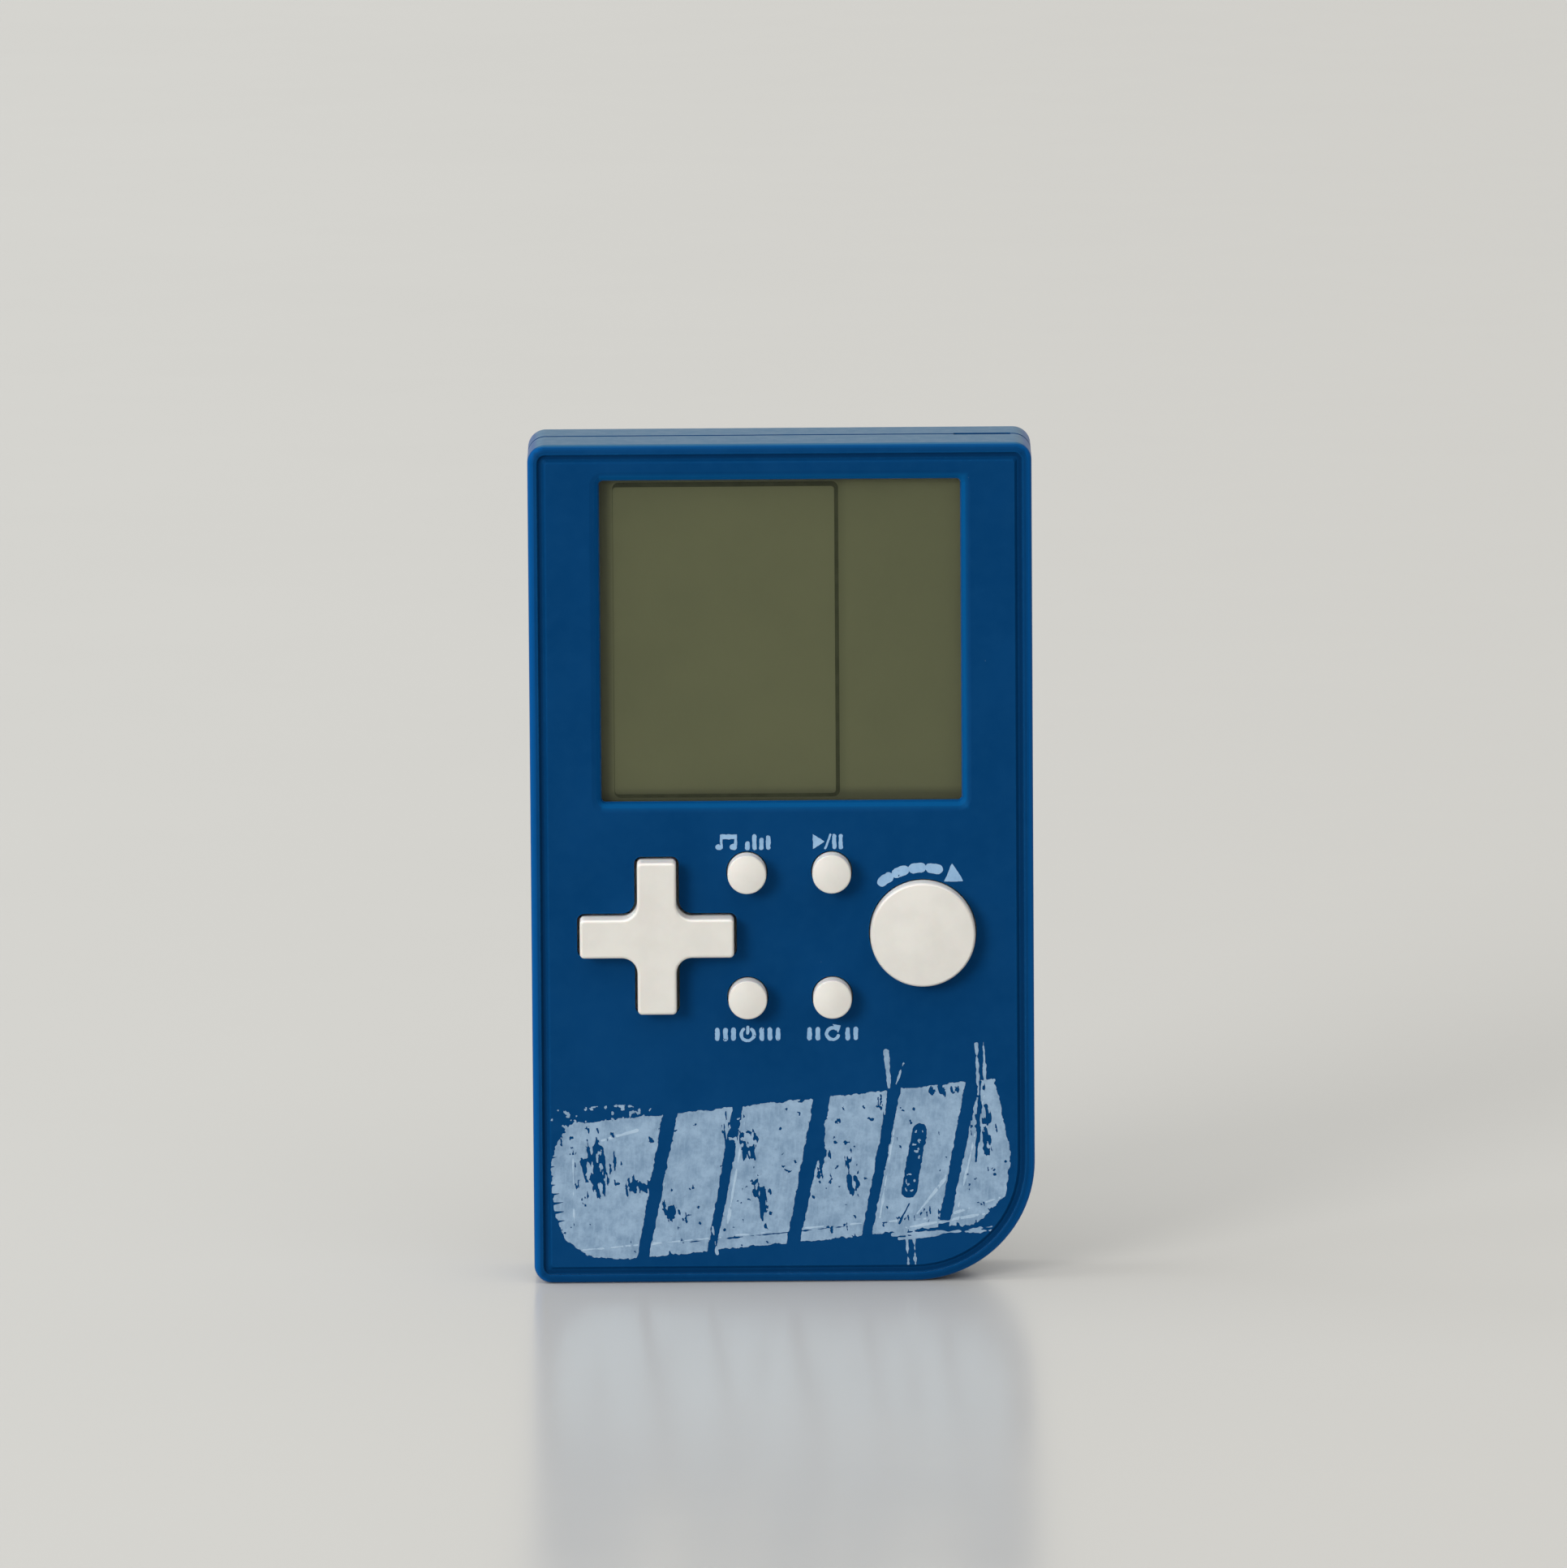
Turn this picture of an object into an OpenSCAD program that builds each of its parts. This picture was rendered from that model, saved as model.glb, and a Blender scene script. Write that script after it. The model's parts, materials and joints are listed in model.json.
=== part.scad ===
// Handheld LCD game: a slim upright pocket unit with a large screen, a cross key and five round keys.
// X runs to the right and Y to the back, and Z runs up.
// The origin is the middle of the bottom rest face.

/* [Case] */
// Width of the case
case_w = 62; // [62:0.5:64]
// Height of the case
case_h = 105; // [104.8:0.2:107]
// Thickness of the case, front face to back face
case_t = 14; // [14:0.25:15]
// Radius of the three small corners
corner_r = 2.2; // [2:0.1:3]
// Radius of the swept bottom right corner
sweep_r = 15; // [13:0.5:15]
// Rounding of the front edge
front_edge_r = 1; // [0.6:0.1:1.2]
// Rounding of the back edge
back_edge_r = 1; // [0.8:0.1:1.8]
// Thickness of the front and back walls
wall_t = 1.5; // [1.4:0.05:1.5]
// Thickness of the side walls
side_t = 1.6; // [1.5:0.1:1.6]
// Distance of the rim groove from the case edge
rim_w = 1.15; // [1:0.05:1.3]
// Width of the rim groove
groove_w = 0.65; // [0.4:0.05:0.8]

/* [Screen] */
// Width of the screen opening
window_w = 44.4; // [42:0.2:44.4]
// Height of the screen opening
window_h = 40.1; // [38:0.1:40.3]
// Height of the middle of the screen opening
window_z = 80.4; // [80:0.1:80.6]
// Rounding of the front of the screen opening
window_edge_r = 1.2; // [0.6:0.1:1.3]
// Thickness of the clear lens
lens_t = 0.75; // [0.6:0.05:0.75]

/* [Keys] */
// Length of the cross key from tip to tip
cross_span = 19.1; // [18:0.1:19.5]
// Width of each arm of the cross key
cross_arm = 4.9; // [4.4:0.1:5.2]
// Sideways place and height of the cross key's middle
cross_at = [-15.5, 43.8];
// Diameter of the four small keys
small_d = 4.8; // [4.4:0.1:5.2]
// Sideways places of the two columns of small keys
small_x = [-4.35, 6.1];
// Heights of the lower and upper rows of small keys
small_z = [36, 51.7];
// Diameter of the large round key
big_d = 13; // [12:0.1:13.4]
// Sideways place and height of the large round key's middle
big_at = [17.3, 44];
// How far the keys stand proud of the front face
key_proud = 2.8; // [1.8:0.1:3.2]
// How far a round key travels
key_travel = 0.8; // [0.5:0.1:0.8]
// How far the cross key rocks each way, in degrees
cross_tilt = 3.5; // [2:0.5:3.5]
// Gap around the cross key
cross_gap = 0.3; // [0.3:0.05:0.4]
// Gap around each round key
key_gap = 0.15; // [0.15:0.05:0.4]

/* [Battery] */
// Diameter of a cell
cell_d = 10.5; // [10:0.1:10.5]
// Length of a cell with its positive cap
cell_len = 44.5; // [43.5:0.1:44.5]

/* [Hidden] */
$fn = 64;
eps = 0.01;
reach = 50;

// Depths, from the front face at the lowest Y to the back face at the highest
front_y = -case_t / 2;
back_y = case_t / 2;
front_in = front_y + wall_t;
back_in = back_y - wall_t;
seam_y = front_y + 7.5;
tape_t = 0.15;
tape_back = front_in + tape_t;
lens_back = tape_back + lens_t;
film_t = 0.2;
glass_t = 1;
film_front = lens_back + 0.1;
glass_front = film_front + film_t;
glass_mid = glass_front + glass_t;
glass_back = glass_mid + glass_t;
board_front = front_in + 3.6;
board_t = 1.2;
board_back = board_front + board_t;

// Shell joint: the rear lip sits in a rebate of the front side wall
lip_h = 1;
lip_inset = 0.9;
lip_gap = 0.1;
seam_w = 0.6;
seam_depth = 0.35;
groove_depth = 0.4;
groove_slope = 0.35;
pry_slot = [7, 1.2, 0.8];
pry_slot_x = 25;

// Keys
flange_w = 1;
flange_t = 0.8;
flange_front = front_in + 0.1;
key_back = flange_front + flange_t;
key_top = key_proud + key_back - front_y;
cross_tip_r = 0.6;
cross_inner_r = 1.9;
cross_flange_w = 1.2;
cross_flange_t = 0.7;
cross_flange_front = front_in + 0.95;
cross_back = cross_flange_front + cross_flange_t;
ball_r = 1.5;
ball_play = 0.05;
ball_y = cross_back + 0.1;

// Rubber key springs
sheet_t = 0.8;
bell_r = 2.8;
pill_t = 0.3;
pill_r = 1.1;
pill_base = key_travel;
cross_bell_at = cross_span / 2 - 2.4;
cross_pill_base = (cross_bell_at + pill_r) * sin(cross_tilt) + 0.11;

// Battery tray and door
cell_r = cell_d / 2;
cell_y = 0.5;
cell_z = [8.05, 18.75];
tray_top = 25.1;
tray_right = 21.6;
tray_wall = 0.8;
tray_floor = 0.6;
plate_t = 0.3;
left_plate_x = -case_w / 2 + 2.4;
right_plate_x = 20.4;
spring_len = right_plate_x - left_plate_x - plate_t - cell_len;
door_x = [-27.6, 20];
door_z = [2.93, 24];
door_gap = 0.15;
door_t = 1.2;
barrel_r = 1.05;
barrel_gap = 0.12;
pin_r = 0.6;
pin_len = 0.85;
pin_play = 0.05;
hinge_y = back_y - barrel_r;
hinge_z = door_z[0] + barrel_gap + barrel_r;
scallop_x = -3.8;
grip_w = 9;
grip_top = 20.4;
grip_pitch = 1.1;
grip_count = 5;
label_size = [36, 20];
label_z = 43.5;

// Screws
case_screw_at = [
    [-26.6, case_h - 4.4], [26.6, case_h - 4.4], [-26.7, 57], [26.7, 57], [-26.7, 30], [26.7, 30],
];
board_screw_at = [[-24, 35.2], [-24, 52.6], [18, 33], [24.5, 52.6]];
post_r = 2.1;
post_back = 2;
rear_post_r = 2.9;
head_seat_y = 3.6;
case_head_r = 1.9;
case_shank_r = 0.93;
board_head_r = 1.5;
board_shank_r = 0.73;

// Board and its components
board_x = case_w / 2 - 2.4;
board_z = [26.2, case_h - 2.2];
board_corner = 4.6;
lcd_x = 22.85;
lcd_z = [56.95, 101.6];
ledge_h = 2.7;
buzzer_at = [0, 78];
buzzer_r = 10;
blob_at = [-8, 68];
blob_r = 5.5;
blob_h = 1.6;

blue = [0.03, 0.24, 0.42];
ivory = [0.88, 0.86, 0.82];
steel = [0.75, 0.75, 0.76];

// ---------- shared shapes ----------

// A flat outline drawn in X and Z, given depth from y0 to y1
module slab(y0, y1)
    translate([0, y1, 0])
        rotate([90, 0, 0])
            linear_extrude(y1 - y0)
                children();

// A round bar along Y
module rod(at, r, y0, y1)
    translate([at[0], y1, at[1]])
        rotate([90, 0, 0])
            cylinder(h = y1 - y0, r = r);

// A revolved profile whose height runs from y towards the front
module turned(at, y)
    translate([at[0], y, at[1]])
        rotate([90, 0, 0])
            rotate_extrude()
                children();

module box(x, y, z)
    translate([x[0], y[0], z[0]])
        cube([x[1] - x[0], y[1] - y[0], z[1] - z[0]]);

module rounded_box(w, h, r) {
    square([w, h - 2 * r], center = true);
    square([w - 2 * r, h], center = true);
    for (x = [-1, 1], z = [-1, 1])
        translate([x * (w / 2 - r), z * (h / 2 - r)])
            circle(r);
}

module panel(x, z)
    translate([x[0], z[0]])
        square([x[1] - x[0], z[1] - z[0]]);

// Case corners: side, level and radius, anticlockwise from the bottom left
corners = [[-1, -1, corner_r], [1, -1, sweep_r], [1, 1, corner_r], [-1, 1, corner_r]];

function corner_at(c, inset) =
    let (r = max(c[2] - inset, 0.4))
    [c[0] * (case_w / 2 - inset - r), case_h / 2 + c[1] * (case_h / 2 - inset - r), r];

// The case outline, moved in by inset
module case_outline(inset = 0) {
    spots = [for (c = corners) corner_at(c, inset)];
    polygon([for (i = [0:3])
        let (c = corners[i], s = spots[i],
            side = [s[0] + c[0] * s[2], s[1]], level = [s[0], s[1] + c[1] * s[2]])
        each (c[0] * c[1] > 0 ? [side, level] : [level, side])]);
    for (s = spots)
        translate([s[0], s[1]])
            circle(s[2]);
}

// Everything between two insets of the case outline
module outline_band(outer, inner)
    difference() {
        case_outline(outer);
        case_outline(inner);
    }

// Everything outside the case outline
module outside(inset)
    difference() {
        translate([0, case_h / 2])
            square([case_w + 10, case_h + 10], center = true);
        case_outline(inset);
    }

// A solid half case, flat at the seam and rounded at its far edge
module half_case(depth, edge)
    hull()
        for (c = corners)
            let (s = corner_at(c, 0))
            translate([s[0], s[1], 0])
                rotate_extrude($fn = 96)
                    polygon([
                        [0, 0], [s[2], 0],
                        for (a = [0:15:90])
                            [s[2] - edge + edge * cos(a), depth - edge + edge * sin(a)],
                        [0, depth],
                    ]);

module cross_shape(grow = 0) {
    span = cross_span + 2 * grow;
    arm = cross_arm + 2 * grow;
    tip_r = cross_tip_r + grow;
    inner_r = cross_inner_r - grow;
    rounded_box(span, arm, tip_r);
    rounded_box(arm, span, tip_r);
    for (x = [-1, 1], z = [-1, 1])
        difference() {
            translate([x * (arm + inner_r) / 2, z * (arm + inner_r) / 2])
                square(inner_r, center = true);
            translate([x * (arm / 2 + inner_r), z * (arm / 2 + inner_r)])
                circle(inner_r);
        }
}

// The small keys, from [column, row]
function small_at(column, row) = [small_x[column], small_z[row]];
round_keys = [
    [small_at(0, 0), small_d], [small_at(1, 0), small_d],
    [small_at(0, 1), small_d], [small_at(1, 1), small_d], [big_at, big_d],
];

// A round key: soft top edge, crowned top, and a flange that stops it behind the front wall
module round_key(at, d, edge, crown_r, hollow = false)
    difference() {
        turned(at, key_back) {
            intersection() {
                union() {
                    square([d / 2, key_top - edge]);
                    square([d / 2 - edge, key_top]);
                    translate([d / 2 - edge, key_top - edge])
                        circle(edge);
                }
                translate([0, key_top - crown_r])
                    circle(crown_r);
                square([d, key_top + 1]);
            }
            square([d / 2 + flange_w, flange_t]);
        }
        if (hollow)
            turned(at, key_back + eps)
                translate([bell_r, 0])
                    square([d / 2 - 1.4 - bell_r, key_top - 1.6]);
    }

// A rubber bell with its plug; h is its height over the board, base the height of its pill
module bell(at, h, base)
    turned(at, board_front)
        polygon([
            [bell_r - 0.7, 0], [bell_r, 0], [bell_r, sheet_t], [bell_r - 0.9, h], [0, h],
            [0, base + pill_t], [pill_r + 0.1, base + pill_t], [bell_r - 0.7, sheet_t],
        ]);

module pill(at, base)
    rod(at, pill_r, board_front - base - pill_t, board_front - base);

// A rubber sheet with bells; the children draw the sheet's outline
module rubber(spots, h, base) {
    difference() {
        slab(board_front - sheet_t, board_front)
            children();
        for (at = spots)
            rod(at, bell_r - 0.35, board_front - reach, board_front + 1);
    }
    for (at = spots)
        bell(at, h, base);
}

cross_bells = [for (a = [0:90:270]) cross_at + cross_bell_at * [cos(a), sin(a)]];

// Bezier point on any number of control points
function bezier(p, t) =
    len(p) == 1 ? p[0] : bezier([for (i = [0:len(p) - 2]) p[i] * (1 - t) + p[i + 1] * t], t);

// A round tube through points; side is any direction the path never follows
module tube(points, r, side, n = 8) {
    last = len(points) - 1;
    rings = [for (i = [0:last])
        let (ahead = points[min(i + 1, last)] - points[max(i - 1, 0)],
            u0 = cross(ahead, side), u = u0 / norm(u0), v0 = cross(ahead, u), v = v0 / norm(v0))
        for (j = [0:n - 1])
            points[i] + r * (cos(360 * j / n) * u + sin(360 * j / n) * v)];
    walls = [for (i = [0:last - 1], j = [0:n - 1])
        let (k = (j + 1) % n)
        [i * n + j, (i + 1) * n + j, (i + 1) * n + k, i * n + k]];
    ends = [[for (j = [0:n - 1]) j], [for (j = [n - 1:-1:0]) last * n + j]];
    polyhedron(rings, concat(walls, ends));
}

module wire(control)
    tube([for (t = [0:1 / 20:1]) bezier(control, t)], 0.45, [1, 1, -1]);

// A conical battery spring along X, from plate x to the cell
module cell_spring(x, z, direction) {
    turns = 3.5;
    steps = round(turns * 16);
    tube([for (i = [0:steps])
        let (f = i / steps, r = 3.4 - 1.1 * f)
        [x + direction * (spring_len - 0.35) * f, cell_y + r * cos(360 * turns * f),
            z + r * sin(360 * turns * f)]], 0.3, [1, 0, 0]);
}

// An AAA cell along X; direction +1 points its positive cap to +X
module cell(x, z, direction)
    translate([x, cell_y, z])
        rotate([0, 90 * direction, 0])
            rotate_extrude()
                polygon([
                    [0, 0], [cell_r - 0.9, 0], [cell_r - 0.5, 0.2], [cell_r, 0.6],
                    [cell_r, cell_len - 1.4], [cell_r - 0.5, cell_len - 1], [2.6, cell_len - 1],
                    [2.4, cell_len - 0.8], [1.9, cell_len - 0.8], [1.9, cell_len], [0, cell_len],
                ]);

// A pan-head screw pointing to the front, with its head's underside at y
module screw(at, y, head_r, head_h, shank_r, shank_len)
    difference() {
        union() {
            intersection() {
                rod(at, head_r, y, y + head_h);
                translate([at[0], y + head_h - 2.2 * head_r, at[1]])
                    sphere(2.2 * head_r);
            }
            rod(at, shank_r, y - shank_len + shank_r, y + eps);
            translate([at[0], y - shank_len + shank_r, at[1]])
                rotate([90, 0, 0])
                    cylinder(h = shank_r, r1 = shank_r, r2 = 0.2);
        }
        for (turn = [0, 90])
            translate([at[0], y + head_h, at[1]])
                rotate([0, turn + 20, 0])
                    cube([head_r * 1.1, head_h, head_r * 0.26], center = true);
    }

// ---------- casing ----------

module front_shell()
    color(blue) {
        difference() {
            translate([0, seam_y, 0])
                rotate([90, 0, 0])
                    half_case(seam_y - front_y, front_edge_r);
            slab(front_in, seam_y + 1)
                case_outline(side_t);
            slab(seam_y - lip_h - lip_gap, seam_y + 1)
                case_outline(lip_inset - lip_gap);
            slab(seam_y - seam_w / 2, seam_y + 1)
                outside(seam_depth);
            rim_groove();
            pry_slot_cut();
            slab(front_y - 1, front_in + 1)
                translate([0, window_z])
                    rounded_box(window_w, window_h, 0.5);
            window_funnel();
            slab(front_y - 1, front_in + 1)
                translate(cross_at)
                    cross_shape(cross_gap);
            for (k = round_keys)
                rod(k[0], k[1] / 2 + key_gap, front_y - 1, front_in + 1);
        }
        for (at = case_screw_at)
            screw_post(at, post_r, case_shank_r, post_back);
        for (at = board_screw_at)
            screw_post(at, 1.9, board_shank_r, board_front);
    }

// Groove round the front face; its inner side slopes up to the panel
module rim_groove()
    difference() {
        slab(front_y - 1, front_y + groove_depth)
            case_outline(rim_w);
        hull() {
            slab(front_y - eps, front_y)
                case_outline(rim_w + groove_w + groove_slope);
            slab(front_y + groove_depth, front_y + groove_depth + eps)
                case_outline(rim_w + groove_w);
        }
    }

// Funnel that rounds the front of the screen opening, in three steps
module window_funnel()
    for (first = [0, 30, 60])
        hull()
            for (a = [first, first + 30])
                let (grow = window_edge_r * (1 - cos(a)), y = front_y + window_edge_r * (1 - sin(a)))
                slab(y - eps, y)
                    translate([0, window_z])
                        rounded_box(window_w + 2 * grow, window_h + 2 * grow, 0.5 + grow);

module screw_post(at, r, shank_r, top)
    difference() {
        rod(at, r, front_in - eps, top);
        rod(at, shank_r + 0.02, front_in + 0.8, top + 1);
    }

module pry_slot_cut()
    translate([pry_slot_x, seam_y, case_h])
        cube([pry_slot[0], pry_slot[1], 2 * pry_slot[2]], center = true);

module rear_shell()
    color(blue)
        difference() {
            union() {
                difference() {
                    translate([0, seam_y, 0])
                        mirror([0, 1, 0])
                            rotate([90, 0, 0])
                                half_case(back_y - seam_y, back_edge_r);
                    slab(seam_y - 1, back_in)
                        case_outline(side_t);
                    slab(seam_y - 1, seam_y + seam_w / 2)
                        outside(seam_depth);
                    pry_slot_cut();
                }
                slab(seam_y - lip_h, seam_y + 1)
                    outline_band(lip_inset, side_t);
                tray();
                for (at = case_screw_at)
                    rod(at, rear_post_r, post_back + 0.1, back_in + eps);
                // ring that carries the buzzer
                turned(buzzer_at, back_in + eps)
                    translate([buzzer_r - 1.2, 0])
                        square([1.6, 1.2]);
                hinge_lugs();
            }
            tray_room();
            door_opening();
            hinge_bores();
            nail_scallop();
            label_recess();
            for (at = case_screw_at) {
                rod(at, case_head_r + 0.2, head_seat_y, reach);
                rod(at, case_shank_r + 0.2, 0, reach);
            }
            // sound holes
            rod(buzzer_at, 0.8, back_in - 1, reach);
            for (a = [0:60:300])
                rod(buzzer_at + 4 * [cos(a), sin(a)], 0.8, back_in - 1, reach);
        }

// The battery tray: a shallow box that hangs from the back wall
module tray() {
    slab(front_in + 0.05, seam_y + eps)
        intersection() {
            case_outline(side_t + 0.1);
            panel([-reach, tray_right], [0, tray_top]);
        }
    slab(seam_y, back_in + eps)
        intersection() {
            case_outline(side_t - 0.4);
            panel([-reach, tray_right], [0, tray_top]);
        }
}

module tray_room() {
    slab(front_in + 0.05 + tray_floor, back_in)
        intersection() {
            case_outline(side_t + 0.1 + 0.65);
            panel([-reach, tray_right - tray_wall], [0, tray_top - tray_wall]);
        }
    // slot for the two contact tabs
    box([left_plate_x - 0.05, left_plate_x + plate_t + 0.2], [0, 4.4],
        [tray_top - tray_wall - 1, tray_top + 1]);
}

module door_opening()
    box(door_x, [hinge_y - barrel_r - 0.5, back_y + 1], door_z);

module hinge_lugs()
    intersection() {
        for (x = [[-case_w / 2 + 1, door_x[0]], [door_x[1], door_x[1] + 1.6]])
            box(x, [hinge_y - barrel_r, back_in + eps], [2, hinge_z + barrel_r]);
        slab(front_y, back_y)
            case_outline(1);
    }

module hinge_bores()
    translate([door_x[0] - pin_len, hinge_y, hinge_z])
        rotate([0, 90, 0])
            cylinder(h = door_x[1] - door_x[0] + 2 * pin_len, r = pin_r + pin_play);

module nail_scallop()
    translate([scallop_x, back_y + 4.3, door_z[1]])
        sphere(5);

// A shallow blank field for a paper label
module label_recess()
    slab(back_y - 0.25, back_y + 1)
        translate([0, label_z])
            rounded_box(label_size[0], label_size[1], 1);

// Finger grip on the door: short level grooves under the nail scallop
module grip_grooves()
    for (i = [0:grip_count - 1])
        box([scallop_x - grip_w / 2, scallop_x + grip_w / 2], [back_y - 0.3, back_y + 1],
            [grip_top - grip_pitch * i - grip_pitch / 2, grip_top - grip_pitch * i]);

module battery_door()
    color(blue)
        difference() {
            union() {
                box([door_x[0] + door_gap, door_x[1] - door_gap], [back_y - door_t, back_y],
                    [hinge_z, door_z[1] - door_gap]);
                door_bar(door_x[0] + door_gap, door_x[1] - door_gap, barrel_r);
                door_bar(door_x[0] - pin_len + 0.1, door_x[1] + pin_len - 0.1, pin_r);
                // stiffening ribs inside, in the valley between the two cells
                for (x = [-20, -4, 12])
                    box([x - 0.4, x + 0.4], [back_y - door_t - 0.9, back_y - door_t + eps],
                        [12.4, 13.9]);
            }
            nail_scallop();
            grip_grooves();
        }

module door_bar(x0, x1, r)
    translate([x0, hinge_y, hinge_z])
        rotate([0, 90, 0])
            cylinder(h = x1 - x0, r = r);

// ---------- screen ----------

module screen_lens()
    color([0.85, 0.9, 0.9, 0.4])
        slab(tape_back, lens_back)
            translate([0, window_z])
                rounded_box(window_w + 4, window_h + 4, 0.6);

module lens_tape()
    color("black")
        slab(front_in, tape_back)
            translate([0, window_z])
                difference() {
                    rounded_box(window_w + 3.6, window_h + 3.6, 0.6);
                    rounded_box(window_w + 0.8, window_h + 0.8, 0.6);
                }

module lcd_frame()
    color("dimgray")
        slab(film_front, board_front)
            difference() {
                panel([-lcd_x - 1.5, lcd_x + 1.5], [lcd_z[0] - 0.9, lcd_z[1] + 1.1]);
                panel([-lcd_x - 0.1, lcd_x + 0.1], [lcd_z[0] - 0.1, lcd_z[1] + 0.1]);
            }

module lcd_front_polarizer()
    color([0.33, 0.34, 0.24])
        slab(film_front, glass_front)
            panel([-lcd_x + 0.2, lcd_x - 0.2], [lcd_z[0] + ledge_h - 0.1, lcd_z[1] - 0.2]);

module lcd_front_glass()
    color([0.7, 0.75, 0.7, 0.6])
        slab(glass_front, glass_mid)
            panel([-lcd_x, lcd_x], lcd_z);

module lcd_rear_glass()
    color([0.7, 0.75, 0.7, 0.6])
        slab(glass_mid, glass_back)
            panel([-lcd_x, lcd_x], [lcd_z[0] + ledge_h, lcd_z[1]]);

module lcd_reflector()
    color("silver")
        slab(glass_back, glass_back + 0.15)
            panel([-lcd_x + 0.3, lcd_x - 0.3], [lcd_z[0] + ledge_h + 0.3, lcd_z[1] - 0.3]);

module zebra_strip()
    color("hotpink")
        slab(glass_mid, board_front)
            panel([-lcd_x + 1.5, lcd_x - 1.5], [lcd_z[0] + 0.4, lcd_z[0] + ledge_h - 0.5]);

// ---------- board ----------

module main_board()
    color([0.1, 0.35, 0.2])
        difference() {
            slab(board_front, board_back)
                difference() {
                    panel([-board_x, board_x], board_z);
                    // room for the corner posts
                    for (x = [-board_x, board_x])
                        translate([x, board_z[1]])
                            square(2 * board_corner, center = true);
                }
            for (at = case_screw_at)
                rod(at, post_r + 0.3, board_front - 1, board_back + 1);
            for (at = board_screw_at)
                rod(at, board_shank_r + 0.25, board_front - 1, board_back + 1);
        }

// A round pool of epoxy: a shallow dome on the back of the board
module chip_blob()
    color("black") {
        dome_r = (blob_r * blob_r + blob_h * blob_h) / (2 * blob_h);
        translate([blob_at[0], board_back, blob_at[1]])
            rotate([-90, 0, 0])
                rotate_extrude()
                    intersection() {
                        translate([0, blob_h - dome_r])
                            circle(dome_r, $fn = 256);
                        square([blob_r + 1, blob_h + 1]);
                    }
    }

module electrolytic_capacitor()
    color("midnightblue") {
        r = 2.5;
        x = 14.5;
        translate([x, board_back + r + 0.05, 62])
            rotate_extrude()
                polygon([
                    [0, 0], [r, 0], [r, 1.6], [r - 0.25, 2], [r, 2.4], [r, 11],
                    [r - 0.3, 11.3], [0, 11.3],
                ]);
        for (side = [-1, 1]) {
            translate([x + side * 1.2, board_back + r, 60.6])
                cylinder(h = 1.5, r = 0.25);
            translate([x + side * 1.2, board_back + r, 60.6])
                sphere(0.25);
            rod([x + side * 1.2, 60.6], 0.25, board_back, board_back + r);
        }
    }

module ceramic_capacitors()
    color("chocolate")
        for (at = [[-19, 62], [-19, 70], [22, 84]]) {
            translate([at[0], board_back + 3.2, at[1]])
                rotate([0, 90, 0])
                    rotate_extrude()
                        polygon([
                            [0, -0.8], [1.5, -0.7], [2, -0.4], [2.2, 0], [2, 0.4], [1.5, 0.7],
                            [0, 0.8],
                        ]);
            for (side = [-1, 1])
                rod([at[0], at[1] + side * 1.25], 0.25, board_back, board_back + 2);
        }

module resistors()
    color("tan")
        for (at = [[-20, 86], [-20, 89.5], [20, 92], [8, 56], [2, 52]]) {
            translate([at[0], board_back + 0.95, at[1]])
                rotate([0, 90, 0]) {
                    cylinder(h = 2.2, r = 0.7, center = true);
                    for (end = [-1, 1])
                        translate([0, 0, end * 1.5])
                            cylinder(h = 0.9, r = 0.85, center = true);
                    cylinder(h = 6.4, r = 0.22, center = true);
                }
            for (end = [-1, 1]) {
                rod([at[0] + end * 3.2, at[1]], 0.22, board_back, board_back + 0.95);
                translate([at[0] + end * 3.2, board_back + 0.95, at[1]])
                    sphere(0.22);
            }
        }

// ---------- keys ----------

module cross_key()
    color(ivory)
        difference() {
            union() {
                slab(front_y - key_proud, cross_back)
                    translate(cross_at)
                        cross_shape();
                slab(cross_flange_front, cross_back)
                    translate(cross_at)
                        cross_shape(cross_flange_w);
            }
            translate([cross_at[0], ball_y, cross_at[1]])
                sphere(ball_r + ball_play);
        }

module cross_pivot_ball()
    color(steel)
        translate([cross_at[0], ball_y, cross_at[1]])
            sphere(ball_r);

module rotate_button() color(ivory) round_key(big_at, big_d, 0.9, 60, true);
module music_button() color(ivory) round_key(small_at(0, 1), small_d, 0.6, 9);
module start_button() color(ivory) round_key(small_at(1, 1), small_d, 0.6, 9);
module power_button() color(ivory) round_key(small_at(0, 0), small_d, 0.6, 9);
module reset_button() color(ivory) round_key(small_at(1, 0), small_d, 0.6, 9);

module cross_rubber()
    color("gainsboro")
        difference() {
            union() {
                rubber(cross_bells, board_front - cross_back, cross_pill_base)
                    translate(cross_at) {
                        rounded_box(20.8, 7, 1);
                        rounded_box(7, 20.8, 1);
                    }
                rod(cross_at, 2.4, ball_y + 0.45, board_front);
            }
            translate([cross_at[0], ball_y, cross_at[1]])
                sphere(ball_r + ball_play);
        }

module rotate_rubber()
    color("gainsboro")
        rubber([big_at], board_front - key_back, pill_base)
            translate(big_at)
                rounded_box(12, 12, 2);

module small_rubber(row)
    color("gainsboro")
        rubber([small_at(0, row), small_at(1, row)], board_front - key_back, pill_base)
            translate([(small_x[0] + small_x[1]) / 2, small_z[row]])
                rounded_box(small_x[1] - small_x[0] + 7, 7, 1.5);

module upper_key_rubber() small_rubber(1);
module lower_key_rubber() small_rubber(0);

module carbon_pills()
    color("black") {
        for (k = round_keys)
            pill(k[0], pill_base);
        for (at = cross_bells)
            pill(at, cross_pill_base);
    }

// ---------- buzzer ----------

module buzzer_disc() color("gold") rod(buzzer_at, buzzer_r, back_in - 1.5, back_in - 1.2);
module buzzer_ceramic() color("ivory") rod(buzzer_at, 7, back_in - 1.7, back_in - 1.5);

// ---------- power ----------

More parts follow.
